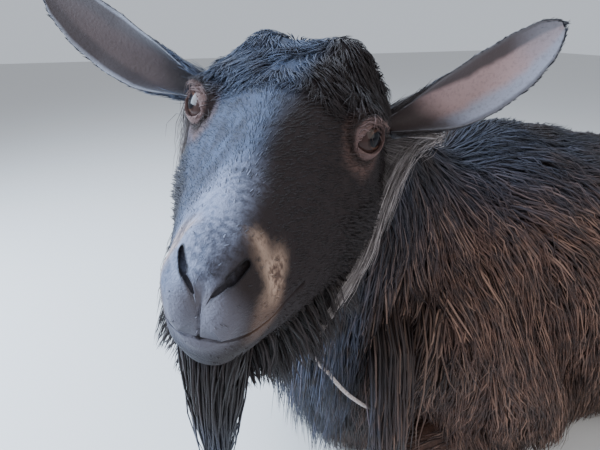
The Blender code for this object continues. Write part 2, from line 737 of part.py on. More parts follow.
def place_lock(tree, start, aim, wish, size, ground, chance, droop=0.34, cling=0.25):
    """A lock rooted where the ray from start along aim meets the tree."""
    place, normal, _, _ = tree.ray_cast(start, aim)
    if place is None:
        return None
    length, width, thickness, lift = size
    turn = Matrix.Rotation(chance.uniform(-0.22, 0.22), 3, normal)
    lie = turn @ flat_direction(wish, normal)
    stretch = chance.uniform(0.88, 1.12)
    path, normals = lock_path(place, normal, lie, length * stretch, ground, lift, droop, cling)
    if len(path) < LOCK_STEPS + 1:
        return None
    return path, normals, width * chance.uniform(0.9, 1.12), thickness


def trunk_locks(trees, ground, chance):
    """Rows down both flanks, the chest and the rump; none is rooted inside another node."""
    trunk = trees["trunk"]
    others = [tree for name, tree in trees.items() if name != "trunk"]
    locks = []

    def add(start, aim, wish, size):
        lock = place_lock(trunk, start, aim, wish, size, ground, chance)
        if lock is None:
            return
        root = lock[0][0]
        for tree in others:
            place, normal, _, _ = tree.find_nearest(root)
            if (root - place).dot(normal) < 0.004:
                return
        locks.append(lock)

    for row, (angle, first, last, count, length, width, thickness, lift, back) in enumerate(TRUNK_LOCK_ROWS):
        for side in (1, -1):
            for k in range(count):
                x = first + (last - first) * (k + (0.5 if row % 2 else 0.15) + chance.uniform(-0.15, 0.15)) / count
                tilt = math.radians(angle + chance.uniform(-5, 5))
                out = Vector((0, -side * math.sin(tilt), math.cos(tilt)))
                centre = Vector((x, 0, 0.215))
                wish = Vector((back, -side * 0.35, -1.0 if angle > 20 else -0.2))
                add(centre + out * 0.6, -out, wish, (length, width, thickness, lift))
    for y, z, length in CHEST_LOCKS:
        add(Vector((-0.70, y, z)), Vector((1, 0, 0)), Vector((-0.1, y * 2, -1)), (length, 0.060, 0.017, 0.016))
    for y, z, length in RUMP_LOCKS:
        add(Vector((0.70, y, z)), Vector((-1, 0, 0)), Vector((0.1, y * 2, -1)), (length, 0.064, 0.016, 0.014))
    return locks


def neck_locks(trees, ground, chance):
    samples = spline_rows(NECK_ROWS, 41)
    head = trees["head"]
    locks = []
    for place, angles, length, width, thickness, lift in NECK_LOCK_ROWS:
        k = int(place * 40)
        centre = Vector(samples[k][:3])
        tangent = (Vector(samples[k + 1][:3]) - centre).normalized()
        side = tangent.cross(Vector((0, 0, 1))).normalized()
        crest = side.cross(tangent)
        for angle in sorted({a * s for a in angles for s in (1, -1)}):
            if angle == -180:
                continue
            tilt = math.radians(angle + chance.uniform(-6, 6))
            out = (crest * math.cos(tilt) + side * math.sin(tilt)).normalized()
            wish = -tangent * (1.1 if abs(angle) < 30 else 0.45) + Vector((0, 0, -0.9))
            size = (length, width, thickness, lift)
            lock = place_lock(trees["neck"], centre + out * 0.3, -out, wish, size, ground, chance)
            if lock is None:
                continue
            near, normal, _, _ = head.find_nearest(lock[0][0])
            if (lock[0][0] - near).dot(normal) > 0.006:
                locks.append(lock)
    for place, angle, length, width in MANE_LOCKS:
        k = int(place * 40)
        centre = Vector(samples[k][:3])
        tangent = (Vector(samples[k + 1][:3]) - centre).normalized()
        side = tangent.cross(Vector((0, 0, 1))).normalized()
        tilt = math.radians(angle)
        out = (side.cross(tangent) * math.cos(tilt) + side * math.sin(tilt)).normalized()
        size = (length, width, 0.022, 0.020)
        lock = place_lock(trees["neck"], centre + out * 0.3, -out, MANE_FALLS, size, ground, chance, 0.5, 0.0)
        if lock:
            locks.append(lock)
    return locks


def leg_locks(tree, rows, side, ground, chance):
    locks = []
    for x, z, length in rows:
        start = Vector((x, -side * 0.5, z))
        wish = Vector((0.25, -side * 0.1, -1))
        size = (length, 0.060, 0.015, 0.013)
        lock = place_lock(tree, start, Vector((0, side, 0)), wish, size, ground, chance)
        if lock:
            locks.append(lock)
    return locks


def head_locks(tree, ground, chance):
    """Beard, forelock and the fringe along the back of the jaw."""
    matrix = head_matrix()
    turn = matrix.to_3x3()
    locks = []

    def add(start, aim, wish, size, droop):
        lock = place_lock(tree, matrix @ start, turn @ aim, turn @ wish, size, ground, chance, droop, 0.9)
        if lock:
            locks.append(lock)

    for x, y, length, width, forward, aside in BEARD_LOCKS + UNDER_JAW_LOCKS:
        locks.append(hanging_lock(tree, matrix, Vector((x, y, -0.2)), length, width, forward, aside, ground))
    for x, y, length, width, aside in FORELOCK:
        add(Vector((x, y, 0.2)), Vector((0, 0, -1)), Vector((1, aside, 0)), (length, width, 0.007, 0.006), 0.05)
    for x, z, length in JAW_LOCKS:
        for side in (1, -1):
            start, wish = Vector((x, side * 0.2, z)), Vector((-0.25, side * 0.1, -1))
            add(start, Vector((0, -side, 0)), wish, (length, 0.030, 0.010, 0.008), 0.15)
    return locks


def hanging_lock(tree, matrix, below, length, width, forward, aside, ground):
    """One strand of the beard or of the hair under the jaw: it leaves the skin and hangs."""
    turn = matrix.to_3x3()
    place, normal, _, _ = tree.ray_cast(matrix @ below, turn @ Vector((0, 0, 1)))
    path, normals = [place - normal * LOCK_SINK], [turn @ Vector((1, 0, 0))]
    direction = (turn @ Vector((forward, aside, -1))).normalized()
    point = place.copy()
    for k in range(LOCK_STEPS + 1):
        path.append(point.copy())
        normals.append(turn @ Vector((1, 0, 0)))
        direction = (direction * 0.75 + Vector((0, 0, -1)) * 0.25).normalized()
        point = point + direction * (length / LOCK_STEPS)
    return path, normals, width, width * 0.55


def tail_locks(tree, ground, chance):
    samples = spline_rows(TAIL_ROWS, 41)
    locks = []
    for place, angle in TAIL_LOCKS:
        k = int(place * 39)
        centre = Vector(samples[k][:3])
        tangent = (Vector(samples[k + 1][:3]) - centre).normalized()
        side = tangent.cross(Vector((0, 0, 1))).normalized()
        crest = side.cross(tangent)
        out = crest * math.cos(math.radians(angle)) + side * math.sin(math.radians(angle))
        lock = place_lock(tree, centre + out * 0.2, -out, tangent, (0.075, 0.036, 0.010, 0.007), ground, chance, 0.2)
        if lock:
            locks.append(lock)
    return locks


def shapes_of(locks, grow=0.0):
    """The locks' blades. Their thin edges need three times the room of a round core."""
    return [lock_shape(*lock, grow=3 * grow) for lock in locks]


class Workshop:
    """Keeps the part's objects and its cutters, and joins or cuts them."""

    def __init__(self):
        self.part = make_collection("billy_goat")
        self.tools = make_collection("cutters", hidden=True)
        self.count = 0

    def piece(self, shape):
        self.count += 1
        item = make_object(f"piece_{self.count:03d}", shape[0], shape[1], self.tools)
        item.hide_render = True
        item.display_type = "WIRE"
        return item

    def combine(self, item, pieces, operation, solver="MANIFOLD"):
        group = make_collection(f"group_{self.count:03d}", hidden=True)
        for piece in pieces:
            group.objects.link(piece)
        modifier = item.modifiers.new(operation.title(), "BOOLEAN")
        modifier.operation = operation
        modifier.solver = solver
        modifier.operand_type = "COLLECTION"
        modifier.collection = group
        graph = bpy.context.evaluated_depsgraph_get()
        mesh = bpy.data.meshes.new_from_object(item.evaluated_get(graph))
        item.modifiers.remove(modifier)
        old = item.data
        item.data = mesh
        bpy.data.meshes.remove(old)
        for piece in list(group.objects):
            bpy.data.objects.remove(piece, do_unlink=True)
        bpy.data.collections.remove(group)
        keep_largest(item)

    def node(self, name, shapes, material, cutters=()):
        """One named node: the union of its shapes, less the cutters."""
        first = make_object(name, shapes[0][0], shapes[0][1], self.part)
        if shapes[1:]:
            self.combine(first, [self.piece(s) for s in shapes[1:]], "UNION")
        if cutters:
            self.combine(first, [self.piece(s) if isinstance(s, tuple) else s for s in cutters], "DIFFERENCE")
        first.data.materials.clear()
        first.data.materials.append(material)
        first.data.name = name
        return first


def keep_largest(item):
    """Drops every loose shell but the largest."""
    work = bmesh.new()
    work.from_mesh(item.data)
    seen, shells = set(), []
    for start in work.verts:
        if start in seen:
            continue
        shell, stack = [], [start]
        seen.add(start)
        while stack:
            vert = stack.pop()
            shell.append(vert)
            for edge in vert.link_edges:
                other = edge.other_vert(vert)
                if other not in seen:
                    seen.add(other)
                    stack.append(other)
        low = [min(v.co[k] for v in shell) for k in range(3)]
        high = [max(v.co[k] for v in shell) for k in range(3)]
        shells.append((sum(h - l for h, l in zip(high, low)), shell))
    shells.sort(key=lambda pair: pair[0])
    for _, shell in shells[:-1]:
        bmesh.ops.delete(work, geom=shell, context="VERTS")
    work.to_mesh(item.data)
    work.free()


def mesh_shape(item):
    """The points and triangles of an object, which is then removed."""
    item.data.calc_loop_triangles()
    points = [tuple(v.co) for v in item.data.vertices]
    faces = [tuple(t.vertices) for t in item.data.loop_triangles]
    bpy.data.objects.remove(item, do_unlink=True)
    return points, closed_outward(points, faces)


def shape_of(item):
    """The points and triangles of a finished node, which stays."""
    item.data.calc_loop_triangles()
    points = [tuple(v.co) for v in item.data.vertices]
    return points, [tuple(t.vertices) for t in item.data.loop_triangles]


def head_pieces(shop, grow=0.0):
    """The head with its lids, before anything is cut out of it."""
    matrix = head_matrix()
    points, faces = head_shape(grow=HEAD_COAT + grow)
    shapes = [(to_world(points, matrix), faces)]
    for side in (1, -1):
        lid = EYE_RADIUS + LID_THICKNESS + grow
        shapes.append(mesh_shape(ball("lid", side_point(EYE_AT, side), lid, shop.tools, 14, 8, matrix)))
    return shapes


def floor_block():
    """All that is under the floor, for cutting the flats that the goat rests on."""
    points = [(x, y, z) for x in (-1.5, 1.5) for y in (-1.2, 1.2) for z in (-0.4, 0.0)]
    faces = [(0, 1, 3, 2), (4, 6, 7, 5), (0, 4, 5, 1), (2, 3, 7, 6), (0, 2, 6, 4), (1, 5, 7, 3)]
    triangles = [t for a, b, c, d in faces for t in ((a, b, c), (a, c, d))]
    return points, closed_outward(points, triangles)


def outward(shape):
    return shape[0], closed_outward(*shape)


def build():
    shop = Workshop()
    chance = random.Random(SEED)
    coat = make_material("coat", (0.030, 0.024, 0.022), 0.75)
    skin = make_material("ear_skin", (0.16, 0.11, 0.11), 0.65)
    iris = make_material("eye", (0.30, 0.12, 0.05), 0.08)
    horn = make_material("hoof_horn", (0.055, 0.045, 0.038), 0.45)
    twine = make_material("twine", (0.42, 0.37, 0.36), 0.8)
    matrix = head_matrix()
    clear = CUT_CLEARANCE
    floor = floor_block()

    # The plain cores, and the same a little larger for cutting room in their neighbours.
    trunk = outward(trunk_shape(TRUNK_COAT))
    neck = outward(tube_shape(NECK_ROWS, NECK_AROUND, NECK_RINGS, grow=NECK_COAT))
    neck_room = outward(tube_shape(NECK_ROWS, NECK_AROUND, NECK_RINGS, grow=NECK_COAT + clear))
    tail = outward(tube_shape(TAIL_ROWS, 10, 6, grow=TAIL_COAT))
    tail_room = outward(tube_shape(TAIL_ROWS, 10, 6, grow=TAIL_COAT + clear))
    head = head_pieces(shop)
    head_room = head_pieces(shop, clear)
    legs, tubes = {}, {}
    for kind, bones in (("fore", FORELEG_BONES), ("hind", HINDLEG_BONES)):
        for side, word in ((1, "left"), (-1, "right")):
            legs[kind, word] = leg_shapes(bones, side, LEG_COAT)
            for k, shape in enumerate(legs[kind, word]):
                tubes[f"{kind}_{word}_{k}"] = shape
    solids = {"trunk": trunk, "neck": neck, "head": head[0], "tail": tail, **tubes}
    trees = {name: Ground([shape]).trees[0] for name, shape in solids.items()}
    ground = Ground(solids.values())

    rooms = []
    leg_rooms = []
    for side, word in ((1, "left"), (-1, "right")):
        eye = ball(f"eye_{word}", side_point(EYE_AT, side), EYE_RADIUS, shop.part, 14, 8, matrix)
        eye.data.materials.append(iris)
        shop.node(f"ear_{word}", [ear_shape(side)], skin)
        kinds = (("fore", FORELEG_BONES, FORE_HOOF, ARM_LOCKS), ("hind", HINDLEG_BONES, HIND_HOOF, THIGH_LOCKS))
        for kind, bones, hoof, rows in kinds:
            claws = hoof_shapes(hoof, side)
            for claw, place in zip(claws, ("inner", "outer") if side > 0 else ("outer", "inner")):
                shop.node(f"{kind}hoof_{word}_{place}", [claw], horn, [floor])
            hoof_room = hoof_shapes(hoof, side, HOOF_CLEARANCE)
            locks = leg_locks(trees[f"{kind}_{word}_0"], rows, side, ground, chance)
            leg = shop.node(f"{kind}leg_{word}", legs[kind, word] + shapes_of(locks), coat, hoof_room + [floor])
            leg_rooms.append(shape_of(leg))
            leg_rooms += leg_shapes(bones, side, LEG_COAT + clear) + shapes_of(locks, clear)
            rooms += hoof_room
    rooms += leg_rooms
    shop.node("collar_cord", [closed_loop_shape(COLLAR_POINTS, COLLAR_RADIUS)], twine)
    collar_room = closed_loop_shape(COLLAR_POINTS, COLLAR_RADIUS + clear)
    ear_rooms = [ear_shape(side, clear * 2) for side in (1, -1)]

    locks = head_locks(trees["head"], ground, chance)
    cuts = [collar_room] + ear_rooms
    for side in (1, -1):
        room = ball("room", side_point(EYE_AT, side), EYE_RADIUS + GAP, shop.tools, 14, 8, matrix)
        cuts += [mesh_shape(room), mesh_shape(eye_opening("opening", side, shop.tools))]
        cuts.append(slot_shape(NOSTRIL_POINTS, NOSTRIL_DEPTH, side, trees["head"]))
        cuts.append(slot_shape(MOUTH_POINTS, MOUTH_DEPTH, side, trees["head"]))
    skull = shop.node("head", head + shapes_of(locks), coat, cuts)
    head_room = head_room + shapes_of(locks, clear) + [shape_of(skull)]

    locks = neck_locks(trees, ground, chance)
    throat = shop.node("neck", [neck] + shapes_of(locks), coat, head_room + ear_rooms + leg_rooms + [collar_room])
    rooms += [neck_room, collar_room] + shapes_of(locks, clear) + [shape_of(throat)]

    locks = tail_locks(trees["tail"], ground, chance)
    dock = shop.node("tail", [tail] + shapes_of(locks), coat)
    rooms += [tail_room] + shapes_of(locks, clear) + [shape_of(dock)]

    locks = trunk_locks(trees, ground, chance)
    shop.node("torso", [trunk] + shapes_of(locks), coat, rooms + head_room + ear_rooms + [floor])
    bpy.data.collections.remove(shop.tools)
    return shop.part


def place_on_origin(collection):
    """Hangs every node on one empty, so that the part stands on the middle of its floor area."""
    corners = [v.co for item in collection.objects for v in item.data.vertices]
    low = [min(c[k] for c in corners) for k in range(3)]
    high = [max(c[k] for c in corners) for k in range(3)]
    holder = bpy.data.objects.new("goat_origin", None)
    holder.location = (-(low[0] + high[0]) / 2, -(low[1] + high[1]) / 2, -low[2])
    for item in list(collection.objects):
        item.parent = holder
    collection.objects.link(holder)


def main():
    clear_scene()
    place_on_origin(build())


main()
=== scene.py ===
import math

import bmesh
import bpy
import numpy as np
from mathutils import Matrix, Vector
from mathutils.bvhtree import BVHTree
from mathutils.kdtree import KDTree


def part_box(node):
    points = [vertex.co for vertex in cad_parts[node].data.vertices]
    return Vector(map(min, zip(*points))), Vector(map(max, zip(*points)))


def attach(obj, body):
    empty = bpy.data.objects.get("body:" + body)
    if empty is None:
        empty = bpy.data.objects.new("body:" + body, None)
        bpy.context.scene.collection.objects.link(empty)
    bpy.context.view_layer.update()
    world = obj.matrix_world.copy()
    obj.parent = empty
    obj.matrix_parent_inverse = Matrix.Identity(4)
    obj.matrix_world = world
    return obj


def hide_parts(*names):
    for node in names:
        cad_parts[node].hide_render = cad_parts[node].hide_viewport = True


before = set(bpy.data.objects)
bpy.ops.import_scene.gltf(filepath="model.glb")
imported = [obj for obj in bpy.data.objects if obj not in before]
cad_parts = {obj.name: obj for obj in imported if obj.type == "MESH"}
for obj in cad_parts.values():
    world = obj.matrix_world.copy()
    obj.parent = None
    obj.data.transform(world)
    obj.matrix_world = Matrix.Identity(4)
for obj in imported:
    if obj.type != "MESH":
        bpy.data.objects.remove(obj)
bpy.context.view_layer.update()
thinning = 1.0
luck = np.random.default_rng(11)
print("frame loaded")

# Rows and sizes below are the animal's own, lying with its chest towards -X and its left side towards -Y.
trunk = {
    "rows": (
        (-0.474, 0.205, 0.066, 0.090, 1.0),
        (-0.425, 0.212, 0.112, 0.150, 0.95),
        (-0.325, 0.221, 0.132, 0.198, 0.92),
        (-0.210, 0.231, 0.145, 0.231, 0.90),
        (-0.080, 0.220, 0.162, 0.224, 0.88),
        (0.060, 0.205, 0.172, 0.209, 0.88),
        (0.180, 0.208, 0.164, 0.205, 0.88),
        (0.290, 0.215, 0.138, 0.192, 0.90),
        (0.370, 0.222, 0.100, 0.160, 0.95),
        (0.410, 0.228, 0.050, 0.090, 1.0),
    ),
    "around": 72,
    "rings": 90,
    "axisHeight": 0.215,
}
neck = {
    "rows": (
        (-0.270, 0.000, 0.275, 0.100, 0.135),
        (-0.355, -0.006, 0.325, 0.094, 0.128),
        (-0.430, -0.030, 0.385, 0.080, 0.110),
        (-0.490, -0.070, 0.445, 0.068, 0.092),
        (-0.530, -0.112, 0.482, 0.052, 0.066),
        (-0.552, -0.138, 0.495, 0.034, 0.042),
    ),
    "around": 60,
    "rings": 50,
}
tail = {
    "rows": (
        (0.385, 0.000, 0.330, 0.026, 0.022),
        (0.425, 0.000, 0.322, 0.024, 0.019),
        (0.470, 0.000, 0.290, 0.020, 0.015),
        (0.498, 0.000, 0.250, 0.012, 0.010),
    ),
}
foreleg = (
    (
        (-0.345, -0.085, 0.250, 0.062, 0.085),
        (-0.275, -0.112, 0.185, 0.058, 0.074),
        (-0.205, -0.128, 0.110, 0.044, 0.052),
    ),
    (
        (-0.185, -0.128, 0.098, 0.040, 0.048),
        (-0.280, -0.122, 0.075, 0.035, 0.040),
        (-0.395, -0.112, 0.036, 0.028, 0.034),
    ),
    (
        (-0.402, -0.104, 0.030, 0.024, 0.030),
        (-0.330, -0.078, 0.022, 0.018, 0.021),
        (-0.268, -0.062, 0.022, 0.019, 0.022),
    ),
    (
        (-0.272, -0.062, 0.022, 0.019, 0.022),
        (-0.240, -0.054, 0.024, 0.017, 0.020),
        (-0.222, -0.050, 0.025, 0.018, 0.020),
    ),
)
hindleg = (
    (
        (0.290, -0.085, 0.260, 0.080, 0.105),
        (0.190, -0.130, 0.205, 0.076, 0.100),
        (0.085, -0.168, 0.130, 0.052, 0.066),
    ),
    (
        (0.070, -0.172, 0.112, 0.046, 0.056),
        (0.170, -0.178, 0.085, 0.040, 0.050),
        (0.300, -0.176, 0.040, 0.024, 0.032),
    ),
    (
        (0.312, -0.178, 0.032, 0.021, 0.030),
        (0.240, -0.192, 0.024, 0.018, 0.022),
        (0.172, -0.200, 0.022, 0.019, 0.021),
    ),
    (
        (0.176, -0.200, 0.022, 0.019, 0.021),
        (0.145, -0.203, 0.023, 0.017, 0.019),
        (0.126, -0.204, 0.024, 0.018, 0.020),
    ),
)
head = {
    "at": Vector((-0.577, -0.167, 0.520)),
    "turn": 59.4,
    "lift": 1.0,
    "roll": 9.8,
    # x, top, bottom, half widths at the top, the middle and the jaw, squareness
    "rows": (
        (-0.098, 0.022, -0.062, 0.036, 0.044, 0.038, 1.0),
        (-0.080, 0.044, -0.098, 0.054, 0.066, 0.058, 0.92),
        (-0.055, 0.057, -0.124, 0.066, 0.077, 0.072, 0.84),
        (-0.028, 0.061, -0.132, 0.067, 0.077, 0.074, 0.80),
        (0.000, 0.057, -0.130, 0.063, 0.073, 0.070, 0.80),
        (0.030, 0.043, -0.126, 0.046, 0.064, 0.062, 0.82),
        (0.060, 0.029, -0.118, 0.026, 0.053, 0.051, 0.84),
        (0.090, 0.015, -0.109, 0.020, 0.044, 0.042, 0.86),
        (0.118, 0.004, -0.099, 0.020, 0.0345, 0.031, 0.86),
        (0.138, -0.005, -0.090, 0.020, 0.0275, 0.024, 0.86),
        (0.152, -0.012, -0.081, 0.018, 0.0225, 0.018, 0.90),
        (0.162, -0.022, -0.066, 0.012, 0.0155, 0.011, 0.95),
    ),
    "around": 110,
    "rings": 120,
    # centre, radius, height of each soft form; they are made on both sides
    "forms": (
        ((-0.040, 0.031, 0.062), 0.020, 0.014),
        ((0.006, 0.058, 0.036), 0.015, 0.005),
        ((-0.004, 0.060, 0.020), 0.022, 0.005),
        ((0.012, 0.058, -0.006), 0.012, 0.002),
        ((0.046, 0.048, -0.004), 0.016, -0.003),
        ((-0.030, 0.060, -0.060), 0.030, 0.004),
        ((0.075, 0.0, 0.022), 0.020, 0.002),
        ((0.148, 0.015, -0.012), 0.009, 0.0030),
        ((0.152, 0.021, -0.034), 0.010, 0.0022),
        ((0.138, 0.027, -0.046), 0.014, 0.0030),
        ((0.158, 0.009, -0.050), 0.009, 0.0018),
        ((0.150, 0.012, -0.068), 0.009, 0.0018),
        ((0.134, 0.000, -0.088), 0.018, 0.005),
        ((-0.042, 0.000, 0.062), 0.013, 0.005),
        ((-0.048, 0.066, 0.036), 0.022, 0.010),
    ),
    # the left dome of the crown stands a little higher
    "leftForm": ((-0.040, 0.044, 0.060), 0.026, 0.010),
}
eye = {
    "at": Vector((0.0086, 0.0543, 0.0157)),
    "radius": 0.0155,
    "lid": 0.0026,
    "looks": Vector((0.68, 0.72, 0.14)),
    "halfLength": 0.0135,
    "halfHeight": 0.0095,
}
nostril = {
    # x, y, z and radius from the inner end to the wide outer one
    "path": (
        (0.1640, 0.0020, -0.0372, 0.0012),
        (0.1625, 0.0066, -0.0312, 0.0021),
        (0.1592, 0.0112, -0.0264, 0.0028),
        (0.1520, 0.0150, -0.0212, 0.0026),
    ),
    "depth": 0.0016,
}
mouth = {
    "path": (
        (0.160, -0.004, -0.0580, 0.0013),
        (0.160, 0.004, -0.0580, 0.0013),
        (0.153, 0.014, -0.0575, 0.0013),
        (0.135, 0.025, -0.0560, 0.0012),
        (0.100, 0.036, -0.0540, 0.0010),
    ),
    "depth": 0.0002,
}
lipSplit = {
    "path": ((0.167, 0.0, -0.0380, 0.0006), (0.167, 0.0, -0.0470, 0.0010), (0.161, 0.0, -0.0575, 0.0009)),
    "depth": 0.0,
}
ear = {
    "root": Vector((-0.052, 0.073, 0.017)),
    "length": 0.152,
    "width": 0.047,
    "thickness": 0.0032,
    "sag": 0.010,
    "pointsLeft": Vector((-0.17, 0.76, 0.62)),
    "pointsRight": Vector((0.08, -0.92, 0.375)),
    "opens": Vector((0.92, 0.0, 0.05)),
    # share of the length, share of the width
    "outline": (
        (0.0, 0.46),
        (0.15, 0.58),
        (0.35, 0.88),
        (0.55, 1.0),
        (0.75, 0.92),
        (0.90, 0.66),
        (0.97, 0.38),
        (1.0, 0.16),
    ),
}
hoof = {
    "length": 0.052,
    "width": 0.021,
    "height": 0.034,
    "slit": 0.004,
    "fore": (Vector((-0.222, -0.050, 0.022)), Vector((1.0, 0.18, 0.02))),
    "hind": (Vector((0.126, -0.204, 0.020)), Vector((-1.0, -0.03, -0.02))),
}
collar = {
    "points": (
        (-0.536, -0.139, 0.298),
        (-0.521, -0.148, 0.262),
        (-0.497, -0.154, 0.228),
        (-0.466, -0.150, 0.200),
        (-0.436, -0.106, 0.195),
        (-0.458, -0.030, 0.208),
        (-0.500, 0.045, 0.262),
        (-0.492, 0.078, 0.345),
        (-0.462, 0.052, 0.440),
        (-0.452, -0.030, 0.500),
        (-0.480, -0.112, 0.480),
        (-0.515, -0.142, 0.400),
    ),
    "radius": 0.0022,
}


def headMatrix():
    turn = Matrix.Rotation(math.pi + math.radians(head["turn"]), 4, "Z")
    lift = Matrix.Rotation(-math.radians(head["lift"]), 4, "Y")
    roll = Matrix.Rotation(-math.radians(head["roll"]), 4, "X")
    return Matrix.Translation(head["at"]) @ turn @ lift @ roll


headPlace = headMatrix()
headTurn = headPlace.to_3x3()
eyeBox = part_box("eye_left")
eyeMiddle = (Vector(eyeBox[0]) + Vector(eyeBox[1])) / 2
shift = eyeMiddle - headPlace @ eye["at"]
shiftArray = np.array(shift)
print("the part stands", [round(v, 4) for v in shift], "from the animal's own frame")


def onSide(point, side):
    return Vector((point[0], side * point[1], point[2]))


def curveThrough(a, b, c, d, t):
    # from b to c, smooth at both
    return 0.5 * (2 * b + (c - a) * t + (2 * a - 5 * b + 4 * c - d) * t**2 + (3 * b - a - 3 * c + d) * t**3)


def splineRows(rows, count):
    data = np.array(rows, float)
    padded = np.vstack([2 * data[0] - data[1], data, 2 * data[-1] - data[-2]])
    places = np.linspace(0, len(data) - 1, count)
    k = np.minimum(places.astype(int), len(data) - 2)
    t = (places - k)[:, None]
    a, b, c, d = (padded[k + o] for o in range(4))
    return curveThrough(a, b, c, d, t)


def signedPower(value, power):
    return np.sign(value) * np.abs(value) ** power


def gridFaces(rings, around):
    i, j = np.meshgrid(np.arange(rings - 1), np.arange(around), indexing="ij")
    a, b = i * around + j, i * around + (j + 1) % around
    quads = np.stack([a, b, b + around, a + around], -1).reshape(-1, 4)
    first, last, end = rings * around, rings * around + 1, (rings - 1) * around
    j = np.arange(around)
    k = (j + 1) % around
    caps = [(first, y, x) for x, y in zip(j, k)] + [(last, end + x, end + y) for x, y in zip(j, k)]
    return [tuple(q) for q in quads] + caps


def outward(points, faces):
    volume = 0.0
    points = np.asarray(points)
    for face in faces[:: max(1, len(faces) // 4000)]:
        a, b, c = points[face[0]], points[face[1]], points[face[2]]
        volume += np.dot(a - points.mean(0), np.cross(b - points.mean(0), c - points.mean(0)))
    return faces if volume > 0 else [tuple(reversed(f)) for f in faces]


def unit(vectors):
    return vectors / np.maximum(np.linalg.norm(vectors, axis=-1, keepdims=True), 1e-12)


def tubeShape(rows, around, rings, cap=0.6, up=(0, 0, 1)):
    samples = splineRows(rows, rings)
    centres, radii = samples[:, :3], samples[:, 3:5]
    tangents = unit(np.gradient(centres, axis=0))
    reach = [-tangents[0] * cap * radii[0].mean(), tangents[-1] * cap * radii[-1].mean()]
    rounding = ((0.22, 0.96), (0.50, 0.86), (0.80, 0.62), (0.95, 0.35))
    first, last = (
        [(centres[k] + reach[k] * share, tangents[k], radii[k] * shrink) for share, shrink in rounding]
        for k in (0, -1)
    )
    layers = [*first[::-1], *zip(centres, tangents, radii), *last]
    angles = np.linspace(0, 2 * math.pi, around, endpoint=False)
    points = []
    for centre, tangent, radius in layers:
        side = np.cross(tangent, np.array(up, float))
        side /= np.linalg.norm(side)
        top = np.cross(side, tangent)
        ring = side[None] * radius[0] * np.cos(angles)[:, None]
        ring = ring + top[None] * radius[1] * np.sin(angles)[:, None]
        points.append(centre + ring)
    points = np.concatenate([*points, [centres[0] + reach[0], centres[-1] + reach[-1]]])
    return points, outward(points, gridFaces(len(layers), around))


def trunkShape():
    rows = splineRows(trunk["rows"], trunk["rings"])
    angles = np.linspace(0, 2 * math.pi, trunk["around"], endpoint=False)
    points = []
    for x, middle, halfWidth, halfHeight, power in rows:
        across = signedPower(np.sin(angles), power) * halfWidth
        upward = signedPower(np.cos(angles), power) * halfHeight
        keel = min(max((-0.10 - x) / 0.25, 0), 1)
        narrow = 1 - 0.35 * keel * np.clip(-np.cos(angles), 0, 1)
        points.append(np.stack([np.full_like(angles, x), across * narrow, middle + upward], 1))
    points = list(np.concatenate(points))
    points.append((rows[0][0] - 0.018, 0, rows[0][1]))
    points.append((rows[-1][0] + 0.018, 0, rows[-1][1]))
    points = np.array(points)
    return points, outward(points, gridFaces(trunk["rings"], trunk["around"]))


def vertexNormals(points, faces):
    normals = np.zeros_like(points)
    for size in (3, 4):
        group = np.array([f for f in faces if len(f) == size])
        if not len(group):
            continue
        first, second = ((0, 1), (0, 2)) if size == 3 else ((0, 2), (1, 3))
        edges = [points[group[:, b]] - points[group[:, a]] for a, b in (first, second)]
        flat = np.cross(*edges)
        for k in range(size):
            np.add.at(normals, group[:, k], flat)
    return unit(normals)


def headShape():
    rows = splineRows(head["rows"], head["rings"])
    angles = np.linspace(0, 2 * math.pi, head["around"], endpoint=False)
    points = []
    for x, top, bottom, high, wide, low, power in rows:
        z = (top + bottom) / 2 + (top - bottom) / 2 * signedPower(np.cos(angles), power)
        share = np.clip((z - bottom) / (top - bottom), 0, 1)
        width = low * (1 - share) * (1 - 2 * share) + wide * 4 * share * (1 - share)
        width = width + high * share * (2 * share - 1)
        y = width * signedPower(np.sin(angles), power)
        points.append(np.stack([np.full_like(angles, x), y, z], 1))
    points = list(np.concatenate(points))
    points.append((rows[0][0] - 0.010, 0, (rows[0][1] + rows[0][2]) / 2))
    points.append((rows[-1][0] + 0.005, 0, (rows[-1][1] + rows[-1][2]) / 2))
    points = np.array(points)
    faces = outward(points, gridFaces(head["rings"], head["around"]))
    normals = vertexNormals(points, faces)
    moved = points.copy()
    forms = []
    for (x, y, z), radius, height in head["forms"]:
        forms += [((x, side * y, z), radius, height) for side in ((1, -1) if y else (1,))]
    for centre, radius, height in (*forms, head["leftForm"]):
        away = np.linalg.norm(points - np.array(centre), axis=1)
        moved += normals * (height * np.exp(-((away / radius) ** 2)))[:, None]
    return moved, faces


def toWorld(points, matrix):
    m = np.array(matrix)
    return np.asarray(points) @ m[:3, :3].T + m[:3, 3]


def mirrored(rows):
    return tuple((row[0], -row[1], *row[2:]) for row in rows)


def asFaces(faces):
    return [tuple(int(i) for i in face) for face in faces]


def newObject(name, points, faces, place=shift):
    mesh = bpy.data.meshes.new(name)
    mesh.from_pydata([tuple(Vector(p) + place) for p in points], [], asFaces(faces))
    mesh.validate()
    item = bpy.data.objects.new(name, mesh)
    bpy.context.scene.collection.objects.link(item)
    return item


def applied(item):
    graph = bpy.context.evaluated_depsgraph_get()
    mesh = bpy.data.meshes.new_from_object(item.evaluated_get(graph))
    old = item.data
    item.modifiers.clear()
    item.data = mesh
    bpy.data.meshes.remove(old)
    return item


def combine(item, other, operation):
    step = item.modifiers.new(operation.title(), "BOOLEAN")
    step.operation = operation
    step.solver = "MANIFOLD"
    step.object = other
    applied(item)
    bpy.data.objects.remove(other, do_unlink=True)
    return item


def smoothShade(item):
    item.data.polygons.foreach_set("use_smooth", np.ones(len(item.data.polygons), bool))
    return item


